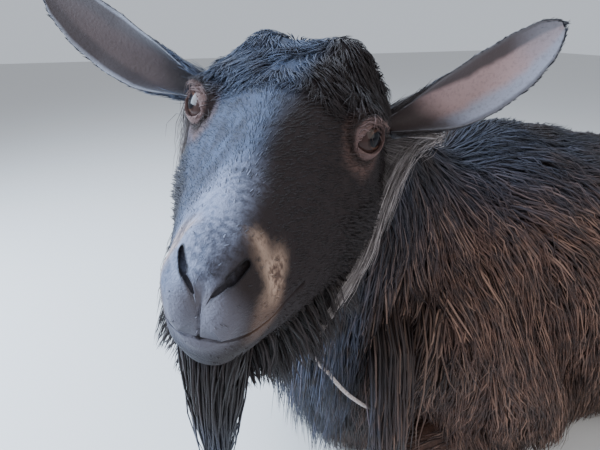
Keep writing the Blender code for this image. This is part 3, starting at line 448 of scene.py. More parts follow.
def roundBall(name, radius, matrix, segments=48, rings=32):
    work = bmesh.new()
    bmesh.ops.create_uvsphere(work, u_segments=segments, v_segments=rings, radius=radius)
    mesh = bpy.data.meshes.new(name)
    work.to_mesh(mesh)
    work.free()
    mesh.transform(Matrix.Translation(shift) @ matrix)
    item = bpy.data.objects.new(name, mesh)
    bpy.context.scene.collection.objects.link(item)
    return item


def eyeFrame(side):
    look = onSide(eye["looks"], side).normalized()
    forward = Vector((1, 0, -0.12))
    along = (forward - look * look.dot(forward)).normalized()
    across = look.cross(along)
    turn = Matrix((along, across, look)).transposed().to_4x4()
    return headPlace @ Matrix.Translation(onSide(eye["at"], side)) @ turn


def eyeFront(side):
    return onSide(eye["at"] + eye["looks"].normalized() * eye["radius"], side)


def eyeOpening(side):
    item = roundBall("opening", 1.0, Matrix.Identity(4))
    place = Matrix.Translation(shift) @ eyeFrame(side) @ Matrix.Translation((0, 0, eye["radius"] * 0.95))
    back = Matrix.Translation(-shift)
    for v in item.data.vertices:
        p = back @ v.co
        corner = 1 - 0.35 * abs(p.x) ** 2
        p = Vector((p.x * eye["halfLength"], p.y * eye["halfHeight"] * corner, p.z * eye["radius"]))
        v.co = place @ p
    return item


def slotCutter(piece, side, tree):
    # a tube that follows the surface, so that it opens as a slit
    rows = []
    for x, y, z, radius in piece["path"]:
        place, normal, _, _ = tree.find_nearest(headPlace @ Vector((x, side * y, z)))
        rows.append((*(place - normal * piece["depth"]), radius, radius))
    points, faces = tubeShape(rows, 16, 24, cap=1.0, up=tuple(headTurn @ Vector((0, 0.3, 1))))
    return newObject("slot", points, faces)


skinMesh = {
    "voxel": 0.0055,
    "soften": 0.6,
    "rounds": 8,
    "lowest": 0.0018,
    "eyeGap": 0.0004,
}


def buildSkin():
    neckShape = tubeShape(neck["rows"], neck["around"], neck["rings"])
    shapes = [trunkShape(), neckShape, tubeShape(tail["rows"], 30, 24)]
    for bones in (foreleg, hindleg):
        for rows in bones:
            shapes += [tubeShape(rows, 36, 24, cap=0.8), tubeShape(mirrored(rows), 36, 24, cap=0.8)]
    points, faces = [], []
    for shapePoints, shapeFaces in shapes:
        start = len(points)
        points += list(shapePoints)
        faces += [tuple(start + i for i in f) for f in shapeFaces]
    body = newObject("goat_skin", points, faces)
    step = body.modifiers.new("Voxels", "REMESH")
    step.mode = "VOXEL"
    step.voxel_size = skinMesh["voxel"]
    step = body.modifiers.new("Soften", "SMOOTH")
    step.factor = skinMesh["soften"]
    step.iterations = skinMesh["rounds"]
    applied(body)
    floorLevel = skinMesh["lowest"] + shift.z
    co = np.empty(len(body.data.vertices) * 3)
    body.data.vertices.foreach_get("co", co)
    co = co.reshape(-1, 3)
    co[:, 2] = np.maximum(co[:, 2], floorLevel)
    body.data.vertices.foreach_set("co", co.ravel())
    points, faces = headShape()
    points = toWorld(points, headPlace)
    faceTree = BVHTree.FromPolygons(points.tolist(), asFaces(faces))
    skull = newObject("skull", points, faces)
    for side in (1, -1):
        place = headPlace @ Matrix.Translation(onSide(eye["at"], side))
        combine(skull, roundBall("lid", eye["radius"] + eye["lid"], place), "UNION")
    combine(body, skull, "UNION")
    for side in (1, -1):
        place = headPlace @ Matrix.Translation(onSide(eye["at"], side))
        combine(body, roundBall("socket", eye["radius"] + skinMesh["eyeGap"], place), "DIFFERENCE")
        combine(body, eyeOpening(side), "DIFFERENCE")
        combine(body, slotCutter(nostril, side, faceTree), "DIFFERENCE")
        combine(body, slotCutter(mouth, side, faceTree), "DIFFERENCE")
    combine(body, slotCutter(lipSplit, 1, faceTree), "DIFFERENCE")
    return smoothShade(body), shapes


skin, bodyShapes = buildSkin()
print("skin", len(skin.data.polygons), "faces")


def sumOf(operation, turned=False):
    def made(self, *others):
        values = (self, *others)[::-1] if turned else (self, *others)
        return addNode(self.tree, "ShaderNodeMath", {"operation": operation}, dict(enumerate(values)))

    return made


class Socket:
    # a node socket that takes part in sums and products

    def __init__(self, tree, link):
        self.tree = tree
        self.link = link

    def between(self, low, high):
        # 0 at low, 1 at high, smooth
        settings = {"interpolation_type": "SMOOTHSTEP", "clamp": True}
        return addNode(self.tree, "ShaderNodeMapRange", settings, {0: self, 1: low, 2: high, 3: 0.0, 4: 1.0})

    __add__ = __radd__ = sumOf("ADD")
    __sub__ = sumOf("SUBTRACT")
    __rsub__ = sumOf("SUBTRACT", turned=True)
    __mul__ = __rmul__ = sumOf("MULTIPLY")
    __truediv__ = sumOf("DIVIDE")
    __pow__ = sumOf("POWER")
    least = sumOf("MINIMUM")
    most = sumOf("MAXIMUM")
    size = sumOf("ABSOLUTE")


def addNode(tree, kind, settings=None, values=None, output=0):
    node = tree.nodes.new(kind)
    for name, value in (settings or {}).items():
        setattr(node, name, value)
    for key, value in (values or {}).items():
        if isinstance(value, Socket):
            tree.links.new(value.link, node.inputs[key])
        elif isinstance(value, (tuple, list, Vector)):
            want = len(node.inputs[key].default_value)
            node.inputs[key].default_value = (*value, 1.0)[:want]
        else:
            node.inputs[key].default_value = value
    return Socket(tree, node.outputs[output])


def blendColour(share, first, second):
    return addNode(share.tree, "ShaderNodeMix", {"data_type": "RGBA"}, {0: share, 6: first, 7: second}, 2)


def newMaterial(name, roughness=0.6, extras=None):
    material = bpy.data.materials.new(name)
    material.use_nodes = True
    tree = material.node_tree
    shader = tree.nodes["Principled BSDF"]
    shader.inputs["Roughness"].default_value = roughness
    for key, value in (extras or {}).items():
        shader.inputs[key].default_value = value
    return material, tree, shader


def feed(shader, name, value):
    value.tree.links.new(value.link, shader.inputs[name])


def vectorSum(operation, vector, other, output=0):
    settings = {"operation": operation}
    return addNode(vector.tree, "ShaderNodeVectorMath", settings, {0: vector, 1: other}, output)


def dotWith(vector, axis):
    return vectorSum("DOT_PRODUCT", vector, tuple(axis), 1)


def awayFrom(vector, point):
    return vectorSum("DISTANCE", vector, tuple(point), 1)


def noiseOf(vector, scale, detail=3.0):
    values = {"Vector": vector, "Scale": scale, "Detail": detail, "Roughness": 0.55}
    return addNode(vector.tree, "ShaderNodeTexNoise", None, values)


def attributeOf(tree, name):
    return addNode(tree, "ShaderNodeAttribute", {"attribute_name": name}, None, 2)


def bumpFrom(height, strength, distance):
    values = {"Strength": strength, "Distance": distance, "Height": height}
    return addNode(height.tree, "ShaderNodeBump", None, values)


colours = {
    "black": (0.0150, 0.0100, 0.0092),
    # black hair with a painted bluish sky sheen
    "blackWithPaintedSheen": (0.019, 0.023, 0.038),
    "rust": (0.112, 0.056, 0.040),
    "tan": (0.200, 0.125, 0.090),
    # painted sky reflection on black hair, used on the face and on the chest
    "paintedSkyBlue": (0.058, 0.079, 0.134),
    # grey grizzle with a painted bluish sky sheen
    "grizzleAndSkySheen": (0.180, 0.198, 0.275),
    "cream": (0.46, 0.320, 0.240),
    "eyeBrown": (0.098, 0.056, 0.048),
    "lid": (0.125, 0.078, 0.072),
    "faceBrown": (0.0165, 0.0110, 0.0112),
    # pale fur, partly painted rim light
    "paleJawFurAndRimLight": (0.30, 0.275, 0.275),
    # pale hair, partly painted rim light
    "fringe": (0.46, 0.42, 0.42),
    "lip": (0.115, 0.110, 0.135),
    "patchBrown": (0.105, 0.064, 0.048),
    # painted shade in the crease round the lids
    "legBrown": (0.050, 0.027, 0.018),
    "paintedCreaseShade": (0.016, 0.010, 0.009),
    # painted shade in the nostrils
    "nostril": (0.007, 0.005, 0.006),
    # painted shade in the line of the mouth
    "mouth": (0.010, 0.007, 0.008),
}


def headPoint(x, y, z):
    return headPlace @ Vector((x, y, z)) + shift


def lineAway(place, start, end):
    # distance from a straight stretch, and the share of the way along it
    along = end - start
    offset = vectorSum("SUBTRACT", place, tuple(start))
    share = (dotWith(offset, along) / along.length_squared).most(0.0).least(1.0)
    values = {0: tuple(along), "Scale": share}
    foot = addNode(place.tree, "ShaderNodeVectorMath", {"operation": "SCALE"}, values)
    return vectorSum("DISTANCE", offset, foot, 1), share


def markingsAndPaintedLight(place, grain):
    # the coat's colour by place alone, the same on the skin and on every tuft: markings, with painted sky
    # sheen, painted shade and painted rim light among them
    own = vectorSum("SUBTRACT", place, tuple(shift))
    x, y, z = (dotWith(own, axis) for axis in ((1, 0, 0), (0, 1, 0), (0, 0, 1)))
    cloudy = noiseOf(place, 9.0)
    fine = noiseOf(place, 55.0)
    backwards = x + cloudy * 0.20
    height = z + cloudy * 0.12
    rust = backwards.between(-0.42, -0.18) * (1 - height.between(0.40, 0.52))
    strands = backwards.between(-0.50, -0.30) * (1 - height.between(0.42, 0.54))
    # painted sky sheen: the black coat turns blue-black, most on the top of the back and neck where the light
    # falls, patchy by the cloudy noise
    high = (z + fine * 0.05).between(0.30, 0.44)
    paintedTopSheen = (0.15 + 0.75 * high) * cloudy.between(0.25, 0.6)
    colour = blendColour(paintedTopSheen, colours["black"], colours["blackWithPaintedSheen"])
    colour = blendColour(rust * (0.35 + 0.65 * fine.between(0.35, 0.65)), colour, colours["rust"])
    colour = blendColour(strands * grain.between(0.45, 0.97) * 0.38, colour, colours["tan"])
    low = 1 - (z + cloudy * 0.10).between(0.10, 0.26)
    low = low * y.size().between(0.06, 0.14) * x.between(-0.34, -0.16)
    colour = blendColour(low * fine.between(0.42, 0.62) * 0.8, colour, colours["tan"])
    toHead = vectorSum("SUBTRACT", place, tuple(headPoint(0, 0, 0)))
    u, v, w = (dotWith(toHead, headTurn @ Vector(axis)) for axis in ((1, 0, 0), (0, 1, 0), (0, 0, 1)))
    onFace = 1 - awayFrom(place, headPoint(0.04, 0, -0.03)).between(0.14, 0.17)
    colour = blendColour(onFace, colour, colours["faceBrown"])
    # painted sky reflection: the front plane of the face turns blue-grey on the goat's right side only, the
    # side that faces the blue key light
    edge = (0.060 - u).most(0.0) * 0.16
    paintedFaceSheen = 1 - (v - edge + fine * 0.010).between(0.000, 0.018)
    paintedFaceSheen = paintedFaceSheen * (w + u * 0.32).between(-0.060, 0.020) * onFace
    colour = blendColour(paintedFaceSheen * (0.35 + 0.5 * fine.between(0.3, 0.7)), colour, colours["paintedSkyBlue"])
    # grizzled grey hair on the top of the muzzle with a painted bluish sky sheen, kept to the lit right side
    # of the ridge
    muzzleGrizzleAndSheen = 1 - awayFrom(place, headPoint(0.132, 0, -0.016)).between(0.022, 0.058)
    muzzleGrizzleAndSheen = muzzleGrizzleAndSheen * (1 - (v + fine * 0.010).between(0.004, 0.022))
    mottled = (grain * 0.6 + fine * 0.4).between(0.36, 0.64)
    colour = blendColour(muzzleGrizzleAndSheen * (0.18 + 0.75 * mottled), colour, colours["grizzleAndSkySheen"])
    wing = awayFrom(place, headPoint(0.1575, 0.0065, -0.0205)) + fine * 0.008
    colour = blendColour((1 - wing.between(0.006, 0.016)) * 0.45, colour, colours["faceBrown"])
    for side, much in ((1, 1.0), (-1, 0.7)):
        colour = sideMarkingsAndPaintedLight(place, grain, fine, colour, side, much)
    lips = 1 - awayFrom(place, headPoint(0.170, 0, -0.050)).between(0.014, 0.030)
    colour = blendColour(lips * 0.8, colour, colours["lip"])
    # painted shade: a dark line in the gap of the mouth
    for side in (1, -1):
        line, share = lineAway(place, headPoint(0.162, 0, -0.0582), headPoint(0.154, side * 0.013, -0.0577))
        line = 1 - (line + share * 0.0006).between(0.0012, 0.0030)
        colour = blendColour(line * 0.9, colour, colours["mouth"])
    # painted sky reflection on the front of the chest, in the same blue-grey
    chestSkyReflection = 1 - (x + cloudy * 0.05).between(-0.475, -0.435)
    chestSkyReflection = chestSkyReflection * z.between(0.06, 0.12) * (1 - z.between(0.30, 0.40))
    colour = blendColour(chestSkyReflection * fine.between(0.3, 0.6) * 0.45, colour, colours["paintedSkyBlue"])
    legs = 1 - (z + cloudy * 0.05).between(0.07, 0.13)
    return blendColour(legs * y.size().between(0.05, 0.12) * 0.55, colour, colours["legBrown"])


def sideMarkingsAndPaintedLight(place, grain, fine, colour, side, much):
    def at(x, y, z):
        return headPoint(x, side * y, z)

    brown = awayFrom(place, at(0.141, 0.027, -0.054)) + fine * 0.014
    colour = blendColour((1 - brown.between(0.012, 0.030)) * 0.8, colour, colours["patchBrown"])
    # the tan patch beside the nostril: a stretch and a round end
    uneven = fine * 0.020 + grain * 0.010
    inner, share = lineAway(place, at(0.1385, 0.0165, -0.013), at(0.1380, 0.0245, -0.036))
    patch = 1 - (inner - share * 0.007 + uneven).between(0.012, 0.027)
    outer = awayFrom(place, at(0.1300, 0.0295, -0.0290)) + uneven
    patch = patch.most((1 - outer.between(0.016, 0.032)) * 0.9)
    speckle = (fine * 0.5 + grain * 0.5).between(0.36, 0.60)
    pale = blendColour(speckle, colours["patchBrown"], colours["cream"])
    colour = blendColour(patch * much * (0.55 + 0.45 * grain), colour, pale)
    ring = awayFrom(place, at(0.014, 0.060, 0.011)) + fine * 0.016
    colour = blendColour((1 - ring.between(0.020, 0.036)) * (0.65 + 0.3 * grain), colour, colours["eyeBrown"])
    fromEye = awayFrom(place, headPoint(*eyeFront(side))) + fine * 0.003
    # painted shade in the crease round the lids
    colour = blendColour((1 - fromEye.between(0.0190, 0.0245)) * 0.8, colour, colours["paintedCreaseShade"])
    colour = blendColour((1 - fromEye.between(0.0155, 0.0180)) * 0.9, colour, colours["lid"])
    # pale fur down the rear edge of the jaw, partly painted rim light on that edge
    corner = at(-0.034, 0.084, -0.095)
    upper, share = lineAway(place, at(-0.060, 0.094, -0.002), corner)
    lower, rest = lineAway(place, corner, at(0.008, 0.058, -0.165))
    band = 1 - (upper + share * 0.007 + fine * 0.010).between(0.010, 0.020)
    band = band.most(1 - (lower + fine * 0.006).between(0.005, 0.011))
    band = band * (0.35 + 0.65 * fine.between(0.35, 0.6)) * 0.9
    colour = blendColour(band, colour, colours["paleJawFurAndRimLight"])
    # painted shade in and around the nostril slits
    for start, end in zip(nostril["path"][:3:2], nostril["path"][2:4]):
        hole, share = lineAway(place, at(*start[:3]), at(*end[:3]))
        colour = blendColour((1 - hole.between(0.0024, 0.0040)) * 0.93, colour, colours["nostril"])
    return colour


def objectPlace(tree):
    return addNode(tree, "ShaderNodeTexCoord", None, None, 3)


def skinMaterial():
    sheen = {"Sheen Weight": 0.02, "Sheen Roughness": 0.4, "Sheen Tint": (0.75, 0.85, 1.0, 1.0)}
    material, tree, shader = newMaterial("goat_skin", 0.6, {"Specular IOR Level": 0.15, **sheen})
    place = objectPlace(tree)
    grain = noiseOf(place, 320.0, 2.0)
    feed(shader, "Base Color", markingsAndPaintedLight(place, grain))
    hairs = noiseOf(place, 900.0, 2.0)
    feed(shader, "Normal", bumpFrom(hairs * 0.5 + grain * 0.5, 0.8, 0.0016))
    return material


def coatMaterial():
    sheen = {"Sheen Weight": 0.02, "Sheen Roughness": 0.35, "Sheen Tint": (0.75, 0.86, 1.0, 1.0)}
    material, tree, shader = newMaterial("goat_coat", 0.5, {"Specular IOR Level": 0.30, **sheen})
    tint = attributeOf(tree, "tint")
    along = attributeOf(tree, "along")
    across = attributeOf(tree, "across")
    colour = markingsAndPaintedLight(objectPlace(tree), tint)
    # fine hairs drawn along each blade
    places = {0: across * 7.0 + tint * 91.0, 1: along * 1.6 + tint * 17.0, 2: tint * 53.0}
    threads = addNode(tree, "ShaderNodeCombineXYZ", None, places)
    streak = noiseOf(threads, 1.0, 2.0).between(0.30, 0.70)
    value = 0.30 + tint * tint * 0.95 + along * 0.40 + streak * 0.65
    values = {"Hue": 0.5, "Saturation": 1.0, "Value": value, "Color": colour}
    feed(shader, "Base Color", addNode(tree, "ShaderNodeHueSaturation", None, values))
    feed(shader, "Roughness", 0.42 + tint * 0.2)
    feed(shader, "Normal", bumpFrom(streak, 0.5, 0.0006))
    return material


def fringeMaterial():
    material, tree, shader = newMaterial("goat_fringe", 0.6, {"Specular IOR Level": 0.25})
    tint = attributeOf(tree, "tint")
    # the pale end is partly painted rim light
    feed(shader, "Base Color", blendColour(tint, (0.110, 0.092, 0.092), colours["fringe"]))
    return material


fringeLook = fringeMaterial()
coatLook = coatMaterial()
skinLook = skinMaterial()
skin.data.materials.clear()
skin.data.materials.append(skinLook)


def smooth(value, low, high):
    t = np.clip((value - low) / (high - low), 0, 1)
    return t * t * (3 - 2 * t)


class Surface:
    # what the coat grows from and lies on

    def __init__(self, item):
        mesh = item.data
        mesh.calc_loop_triangles()
        self.points = np.empty(len(mesh.vertices) * 3)
        mesh.vertices.foreach_get("co", self.points)
        self.points = self.points.reshape(-1, 3) - shiftArray
        self.triangles = np.empty(len(mesh.loop_triangles) * 3, int)
        mesh.loop_triangles.foreach_get("vertices", self.triangles)
        self.triangles = self.triangles.reshape(-1, 3)
        corners = self.points[self.triangles]
        flat = np.cross(corners[:, 1] - corners[:, 0], corners[:, 2] - corners[:, 0])
        self.areas = np.linalg.norm(flat, axis=1) / 2
        normals = np.zeros_like(self.points)
        for k in range(3):
            np.add.at(normals, self.triangles[:, k], flat)
        self.normals = unit(normals)
        self.tree = BVHTree.FromPolygons(self.points.tolist(), self.triangles.tolist())

    def scatterNear(self, middle, reach, count):
        away = np.linalg.norm(self.points[self.triangles].mean(1) - np.array(middle), axis=1)
        return self.scatter(count, self.areas * (away < reach))

    def scatter(self, count, areas=None):
        # places by area, with the smooth normal
        areas = self.areas if areas is None else areas
        chosen = luck.choice(len(areas), count, p=areas / areas.sum())
        a, b = luck.random(count), luck.random(count)
        flip = a + b > 1
        a[flip], b[flip] = 1 - a[flip], 1 - b[flip]
        weights = np.stack([1 - a - b, a, b], 1)[:, :, None]
        corners = self.triangles[chosen]
        places = (self.points[corners] * weights).sum(1)
        normals = (self.normals[corners] * weights).sum(1)
        return places, unit(normals)


ground = Surface(skin)


def partTrees():
    points, faces = headShape()
    shapes = [(toWorld(points, headPlace), faces), *bodyShapes]
    return [BVHTree.FromPolygons(np.asarray(points).tolist(), asFaces(faces)) for points, faces in shapes]


def nearestPart(trees, places):
    # 0 head, 1 trunk, 2 neck, 3 tail, then the bones of the legs, left and right in turn
    found = np.zeros(len(places), int)
    for n, p in enumerate(places):
        best = 1e9
        for k, tree in enumerate(trees):
            away = tree.find_nearest(p)[3]
            if away is not None and away < best - (0.002 if k else 0):
                best, found[n] = away, k
    return found


def flatten(wish, normals):
    return unit(wish - normals * (wish * normals).sum(1)[:, None])


def growPaths(roots, normals, lies, lengths, lift, droop, cling, steps):
    # centre lines of tufts that lie on the skin and hang
    count = len(roots)
    paths = np.empty((count, steps + 1, 3))
    ups = np.empty((count, steps + 1, 3))
    paths[:, 0] = roots - normals * 0.0015
    ups[:, 0] = normals
    direction = unit(lies + normals * 0.35)
    point = paths[:, 0].copy()
    down = np.array((0, 0, -1.0))
    find = ground.tree.find_nearest
    for k in range(1, steps + 1):
        point = point + direction * (lengths / steps)[:, None]
        up = ups[:, k - 1].copy()
        wanted = lift * (0.35 + 0.65 * k / steps)
        for n in range(count):
            place, normal, _, away = find(point[n])
            if place is None:
                continue
            above = sum((point[n][i] - place[i]) * normal[i] for i in range(3))
            if above < 0 or away < wanted[n]:
                point[n] = place + normal * wanted[n]
                up[n] = normal
            elif away > wanted[n] * 1.2:
                point[n] += (np.array(place) - point[n]) * (cling[n] * (away - wanted[n]) / away)
                up[n] = normal
        point[:, 2] = np.maximum(point[:, 2], 0.0025)
        paths[:, k] = point
        ups[:, k] = up
        direction = unit(point - paths[:, k - 1])
        direction = unit(direction * (1 - droop)[:, None] + down * droop[:, None])
    return paths, ups


def clump(paths, every, strength, start=0.15):
    # draws neighbours together towards their tips
    count = len(paths)
    if count < every * 2:
        return paths
    heads = luck.choice(count, count // every, replace=False)
    tree = KDTree(len(heads))
    for n, h in enumerate(heads):
        tree.insert(paths[h, 0], n)
    tree.balance()
    leader = np.array([heads[tree.find(p)[1]] for p in paths[:, 0]])
    steps = paths.shape[1]
    share = np.clip((np.linspace(0, 1, steps) - start) / (1 - start), 0, 1) ** 1.3 * strength
    pull = paths[leader] - paths
    limit = np.linalg.norm(pull, axis=2, keepdims=True)
    pull *= np.minimum(1, 0.05 / np.maximum(limit, 1e-9))
    return paths + pull * share[None, :, None]


def wave(paths, ups, size, turns):
    steps = paths.shape[1]
    t = np.linspace(0, 1, steps)[None, :]
    phase = luck.uniform(0, 2 * math.pi, (len(paths), 1))
    tangent = np.gradient(paths, axis=1)
    side = unit(np.cross(tangent, ups))
    swing = np.sin(phase + t * turns * 2 * math.pi) * t * size
    rise = np.cos(phase * 1.7 + t * turns * 2 * math.pi) * t * size * 0.35
    return paths + side * swing[..., None] + ups * rise[..., None]


def styled(paths, ups, piece):
    for values in piece["clumps"]:
        paths = clump(paths, *values)
    return wave(paths, ups, *piece["wave"])


def setValues(mesh, name, values):
    mesh.attributes.new(name, "FLOAT", "POINT").data.foreach_set("value", values)


def tuftMesh(name, paths, ups, widths, thicknesses, patches, profile, tints=(0.0, 1.0), look=None):
    # closed blades of three sides: rings at every step but the last, which is the tip
    count, steps = paths.shape[0], paths.shape[1]
    tangent = unit(np.gradient(paths, axis=1))
    side = unit(np.cross(tangent, ups))
    rise = np.cross(side, tangent)
    half = widths[:, None] / 2 * np.array(profile)[None, :]
    high = thicknesses[:, None] * np.array(profile)[None, :]
    left = paths[:, :-1] + side[:, :-1] * half[..., None]
    right = paths[:, :-1] - side[:, :-1] * half[..., None]
    ridge = paths[:, :-1] + rise[:, :-1] * high[..., None]
    rings = np.stack([left, ridge, right], 2).reshape(count, -1, 3)
    points = np.concatenate([rings, paths[:, -1:]], 1)
    points[..., 2] = np.maximum(points[..., 2], 0.0012)
    each = points.shape[1]
    faces = [(0, 2, 1)]
    for k in range(steps - 2):
        for j in range(3):
            a, b = k * 3 + j, k * 3 + (j + 1) % 3
            faces += [(a, b, b + 3), (a, b + 3, a + 3)]
    for j in range(3):
        a, b = (steps - 2) * 3 + j, (steps - 2) * 3 + (j + 1) % 3
        faces.append((a, b, each - 1))
    faces = np.array(faces)
    whole = (faces[None] + (np.arange(count) * each)[:, None, None]).reshape(-1, 3)
    flat = points.reshape(-1, 3) + shiftArray
    mesh = bpy.data.meshes.new(name)
    mesh.vertices.add(len(flat))
    mesh.vertices.foreach_set("co", flat.ravel())
    mesh.loops.add(len(whole) * 3)
    mesh.loops.foreach_set("vertex_index", whole.ravel())
    mesh.polygons.add(len(whole))
    mesh.polygons.foreach_set("loop_start", np.arange(len(whole)) * 3)
    mesh.polygons.foreach_set("use_smooth", np.ones(len(whole), bool))
    mesh.update(calc_edges=True)
    t = np.repeat(np.linspace(0, 1, steps)[:-1], 3)
    along = np.append(t, 1.0)
    across = np.append(np.tile((0.0, 0.5, 1.0), steps - 1), 0.5)
    uv = patches[:, None, :] + np.stack([across, along], 1)[None] * 0.003
    layer = mesh.uv_layers.new(name="OFBake")
    layer.data.foreach_set("uv", uv.reshape(-1, 2)[whole.ravel()].ravel())
    setValues(mesh, "along", np.tile(along, count))
    setValues(mesh, "across", np.tile(across, count))
    setValues(mesh, "tint", np.repeat(luck.uniform(*tints, count), each))
    mesh.materials.append(look or coatLook)
    item = bpy.data.objects.new(name, mesh)
    bpy.context.scene.collection.objects.link(item)
    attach(item, "root")
    print(name, count, "tufts,", len(whole), "triangles")
    return item


def headLocal(places):
    m = np.array(headPlace.inverted())
    return places @ m[:3, :3].T + m[:3, 3]


def unwrapped(part, places):
    # each part's length and girth, side by side on one square
    patches = np.zeros((len(places), 2))
    local = headLocal(places)
    around = {
        # part: corner and size on the square, start and length along x, the axis round which it unrolls
        0: ((0.56, 0.52), (0.43, 0.46), (-0.12, 0.31), (0.0, -0.03)),
        1: ((0.01, 0.01), (0.52, 0.97), (-0.47, 0.93), (0.0, trunk["axisHeight"])),
        2: ((0.56, 0.01), (0.20, 0.48), (-0.60, 0.40), (-0.05, 0.36)),
    }
    for k in np.unique(part):
        here = part == k
        p = local[here] if k == 0 else places[here]
        if k in around:
            corner, size, (start, run), (axisY, axisZ) = around[k]
            turn = np.arctan2(p[:, 1] - axisY, p[:, 2] - axisZ) / (2 * math.pi) + 0.5
            patches[here] = np.array(corner) + np.stack([(p[:, 0] - start) / run, turn], 1) * size
        else:
            cell = k - 3
            x0, y0 = 0.78 + (cell % 4) * 0.052, 0.01 + (cell // 4) * 0.096
            low, high = p.min(0), p.max(0)
            q = (p - low) / np.maximum(high - low, 1e-6)
            patches[here] = np.stack([x0 + q[:, 0] * 0.045, y0 + q[:, 2] * 0.088], 1)
    return np.clip(patches, 0.001, 0.996)


coat = {
    "bodyTufts": 53000,
    # how many share one lock, how strongly; then the size and number of the waves
    "clumps": ((40, 0.55), (8, 0.35)),
    "wave": (0.0075, 0.9),
    # width at each step, by the number of steps
    "profiles": {2: (0.8, 1.0), 3: (0.7, 1.0, 0.7), 4: (0.6, 1.0, 0.85, 0.55)},
}


def boneLie(part, places):
    # hair on a leg runs down the bone
    wish = np.zeros((len(places), 3))
    bones = [rows for group in (foreleg, hindleg) for rows in group]
    for k in range(8):
        for side in (0, 1):
            here = part == 4 + k * 2 + side
            rows = bones[k] if side == 0 else mirrored(bones[k])
            run = np.array(rows[-1][:3]) - np.array(rows[0][:3])
            wish[here] = run / np.linalg.norm(run)
    return wish


def growBodyCoat():
    trees = partTrees()
    places, normals = ground.scatter(int(coat["bodyTufts"] * 1.25 * thinning))
    part = nearestPart(trees, places)
    keep = (part != 0) & (places[:, 2] > 0.012) & ~((normals[:, 2] < -0.75) & (places[:, 2] < 0.10))
    places, normals, part = places[keep], normals[keep], part[keep]
    count = len(places)
    x, y, z = places.T
    side = np.sign(y)
    angle = np.degrees(np.arctan2(np.abs(y), z - trunk["axisHeight"]))
    wish = np.zeros((count, 3))
    length = np.full(count, 0.12)
    lift = np.full(count, 0.012)
    cling = np.full(count, 0.25)
    droop = np.full(count, 0.30)
    width = np.full(count, 0.0029)
    body = part == 1
    top = 1 - smooth(angle, 10, 60)
    wish[body] = np.stack([0.25 + 0.75 * top, side * 0.35, -1 + 0.6 * top], 1)[body]
    length[body] = (0.150 - 0.070 * top - 0.03 * smooth(angle, 105, 150))[body]
    lift[body] = (0.020 - 0.004 * top)[body]
    cling[body] = (0.18 + 0.5 * top)[body]
    front = body & (x < -0.39)
    wish[front] = (-0.35, 0, -1)
    length[front] = 0.135
    lift[front] = 0.026
    cling[front] = 0.1
    onNeck = part == 2
    run = np.array(neck["rows"][0][:3]) - np.array(neck["rows"][-1][:3])
    run /= np.linalg.norm(run)
    wish[onNeck] = run * 0.6 + np.array((0, 0, -0.8))
    length[onNeck] = (0.085 + 0.03 * smooth(-x, -0.30, 0.60))[onNeck]
    lift[onNeck] = 0.016
    cling[onNeck] = 0.3
    throat = onNeck & (normals[:, 2] < 0.15)
    hang = smooth(-normals[:, 2], -0.15, 0.35)
    length[throat] = (0.085 + 0.155 * hang)[throat]
    cling[throat] = (0.30 * (1 - hang))[throat]
    droop[throat] = (0.30 + 0.25 * hang)[throat]
    wish[throat] = (-0.42, 0, -1)
    onTail = part == 3
    wish[onTail] = (1.0, 0, -0.9)
    length[onTail] = 0.075
    lift[onTail] = 0.008
    onLeg = part >= 4
    wish[onLeg] = boneLie(part, places)[onLeg]
    upper = onLeg & np.isin((part - 4) // 2, (0, 4))
    lower = onLeg & ~upper
    wish[upper] = (0.25, 0, -1)
    length[upper] = 0.115
    lift[upper] = 0.016
    length[lower] = (0.020 + 0.03 * smooth(z, 0.05, 0.12))[lower]
    lift[lower] = 0.0025
    droop[lower] = 0.02
    cling[lower] = 0.8
    width[lower] = 0.0022
    swirl = 0.22 * np.sin(x * 15 + z * 9 + 1.0) + 0.18 * np.sin(y * 23 - x * 19)
    swirl = (swirl + 0.12 * np.sin(z * 41 + x * 33)) * (part != 3)
    lie = flatten(wish + luck.normal(0, 0.12, (count, 3)), normals)
    lie = flatten(lie + np.cross(normals, lie) * swirl[:, None], normals)
    length *= luck.uniform(0.65, 1.15, count)
    lift *= luck.uniform(0.45, 1.15, count)
    width *= luck.uniform(0.6, 1.25, count)
    patches = unwrapped(part, places)
    sparse = luck.random(count) < 0.45
    flank = body & (angle > 38)
    groups = {
        "coat_flank_left": (flank & (y < 0) & (x < 0.03), 4),
        "coat_haunch_left": (flank & (y < 0) & (x >= 0.03), 4),
        "coat_flank_right": (flank & (y >= 0) & (x < 0.03), 4),
        "coat_haunch_right": (flank & (y >= 0) & (x >= 0.03), 4),
        "coat_back": (body & (angle <= 38), 3),
        "coat_neck": (onNeck, 4),
        "coat_tail": (onTail, 3),
        "coat_thigh_left": (upper & (y < 0), 4),
        "coat_thigh_right": (upper & (y >= 0), 4),
        "coat_shin_left": (lower & (y < 0) & sparse, 2),
        "coat_shin_right": (lower & (y >= 0) & sparse, 2),
    }
    for name, (chosen, steps) in groups.items():
        grown = (values[chosen] for values in (places, normals, lie, length, lift, droop, cling))
        paths, ups = growPaths(*grown, steps)
        if steps > 2:
            paths = styled(paths, ups, coat)
        wide = width[chosen]
        tuftMesh(name, paths, ups, wide, wide * 0.2, patches[chosen], coat["profiles"][steps])
    return trees


trees = growBodyCoat()
print("body coat done")

faceCoat = {
    "tufts": 23000,
    "profile": (0.8, 1.0, 0.7),
    "tints": (0.35, 0.75),
}


def leastAway(places, points):
    return np.min([np.linalg.norm(places - np.array(point), axis=1) for point in points], axis=0)


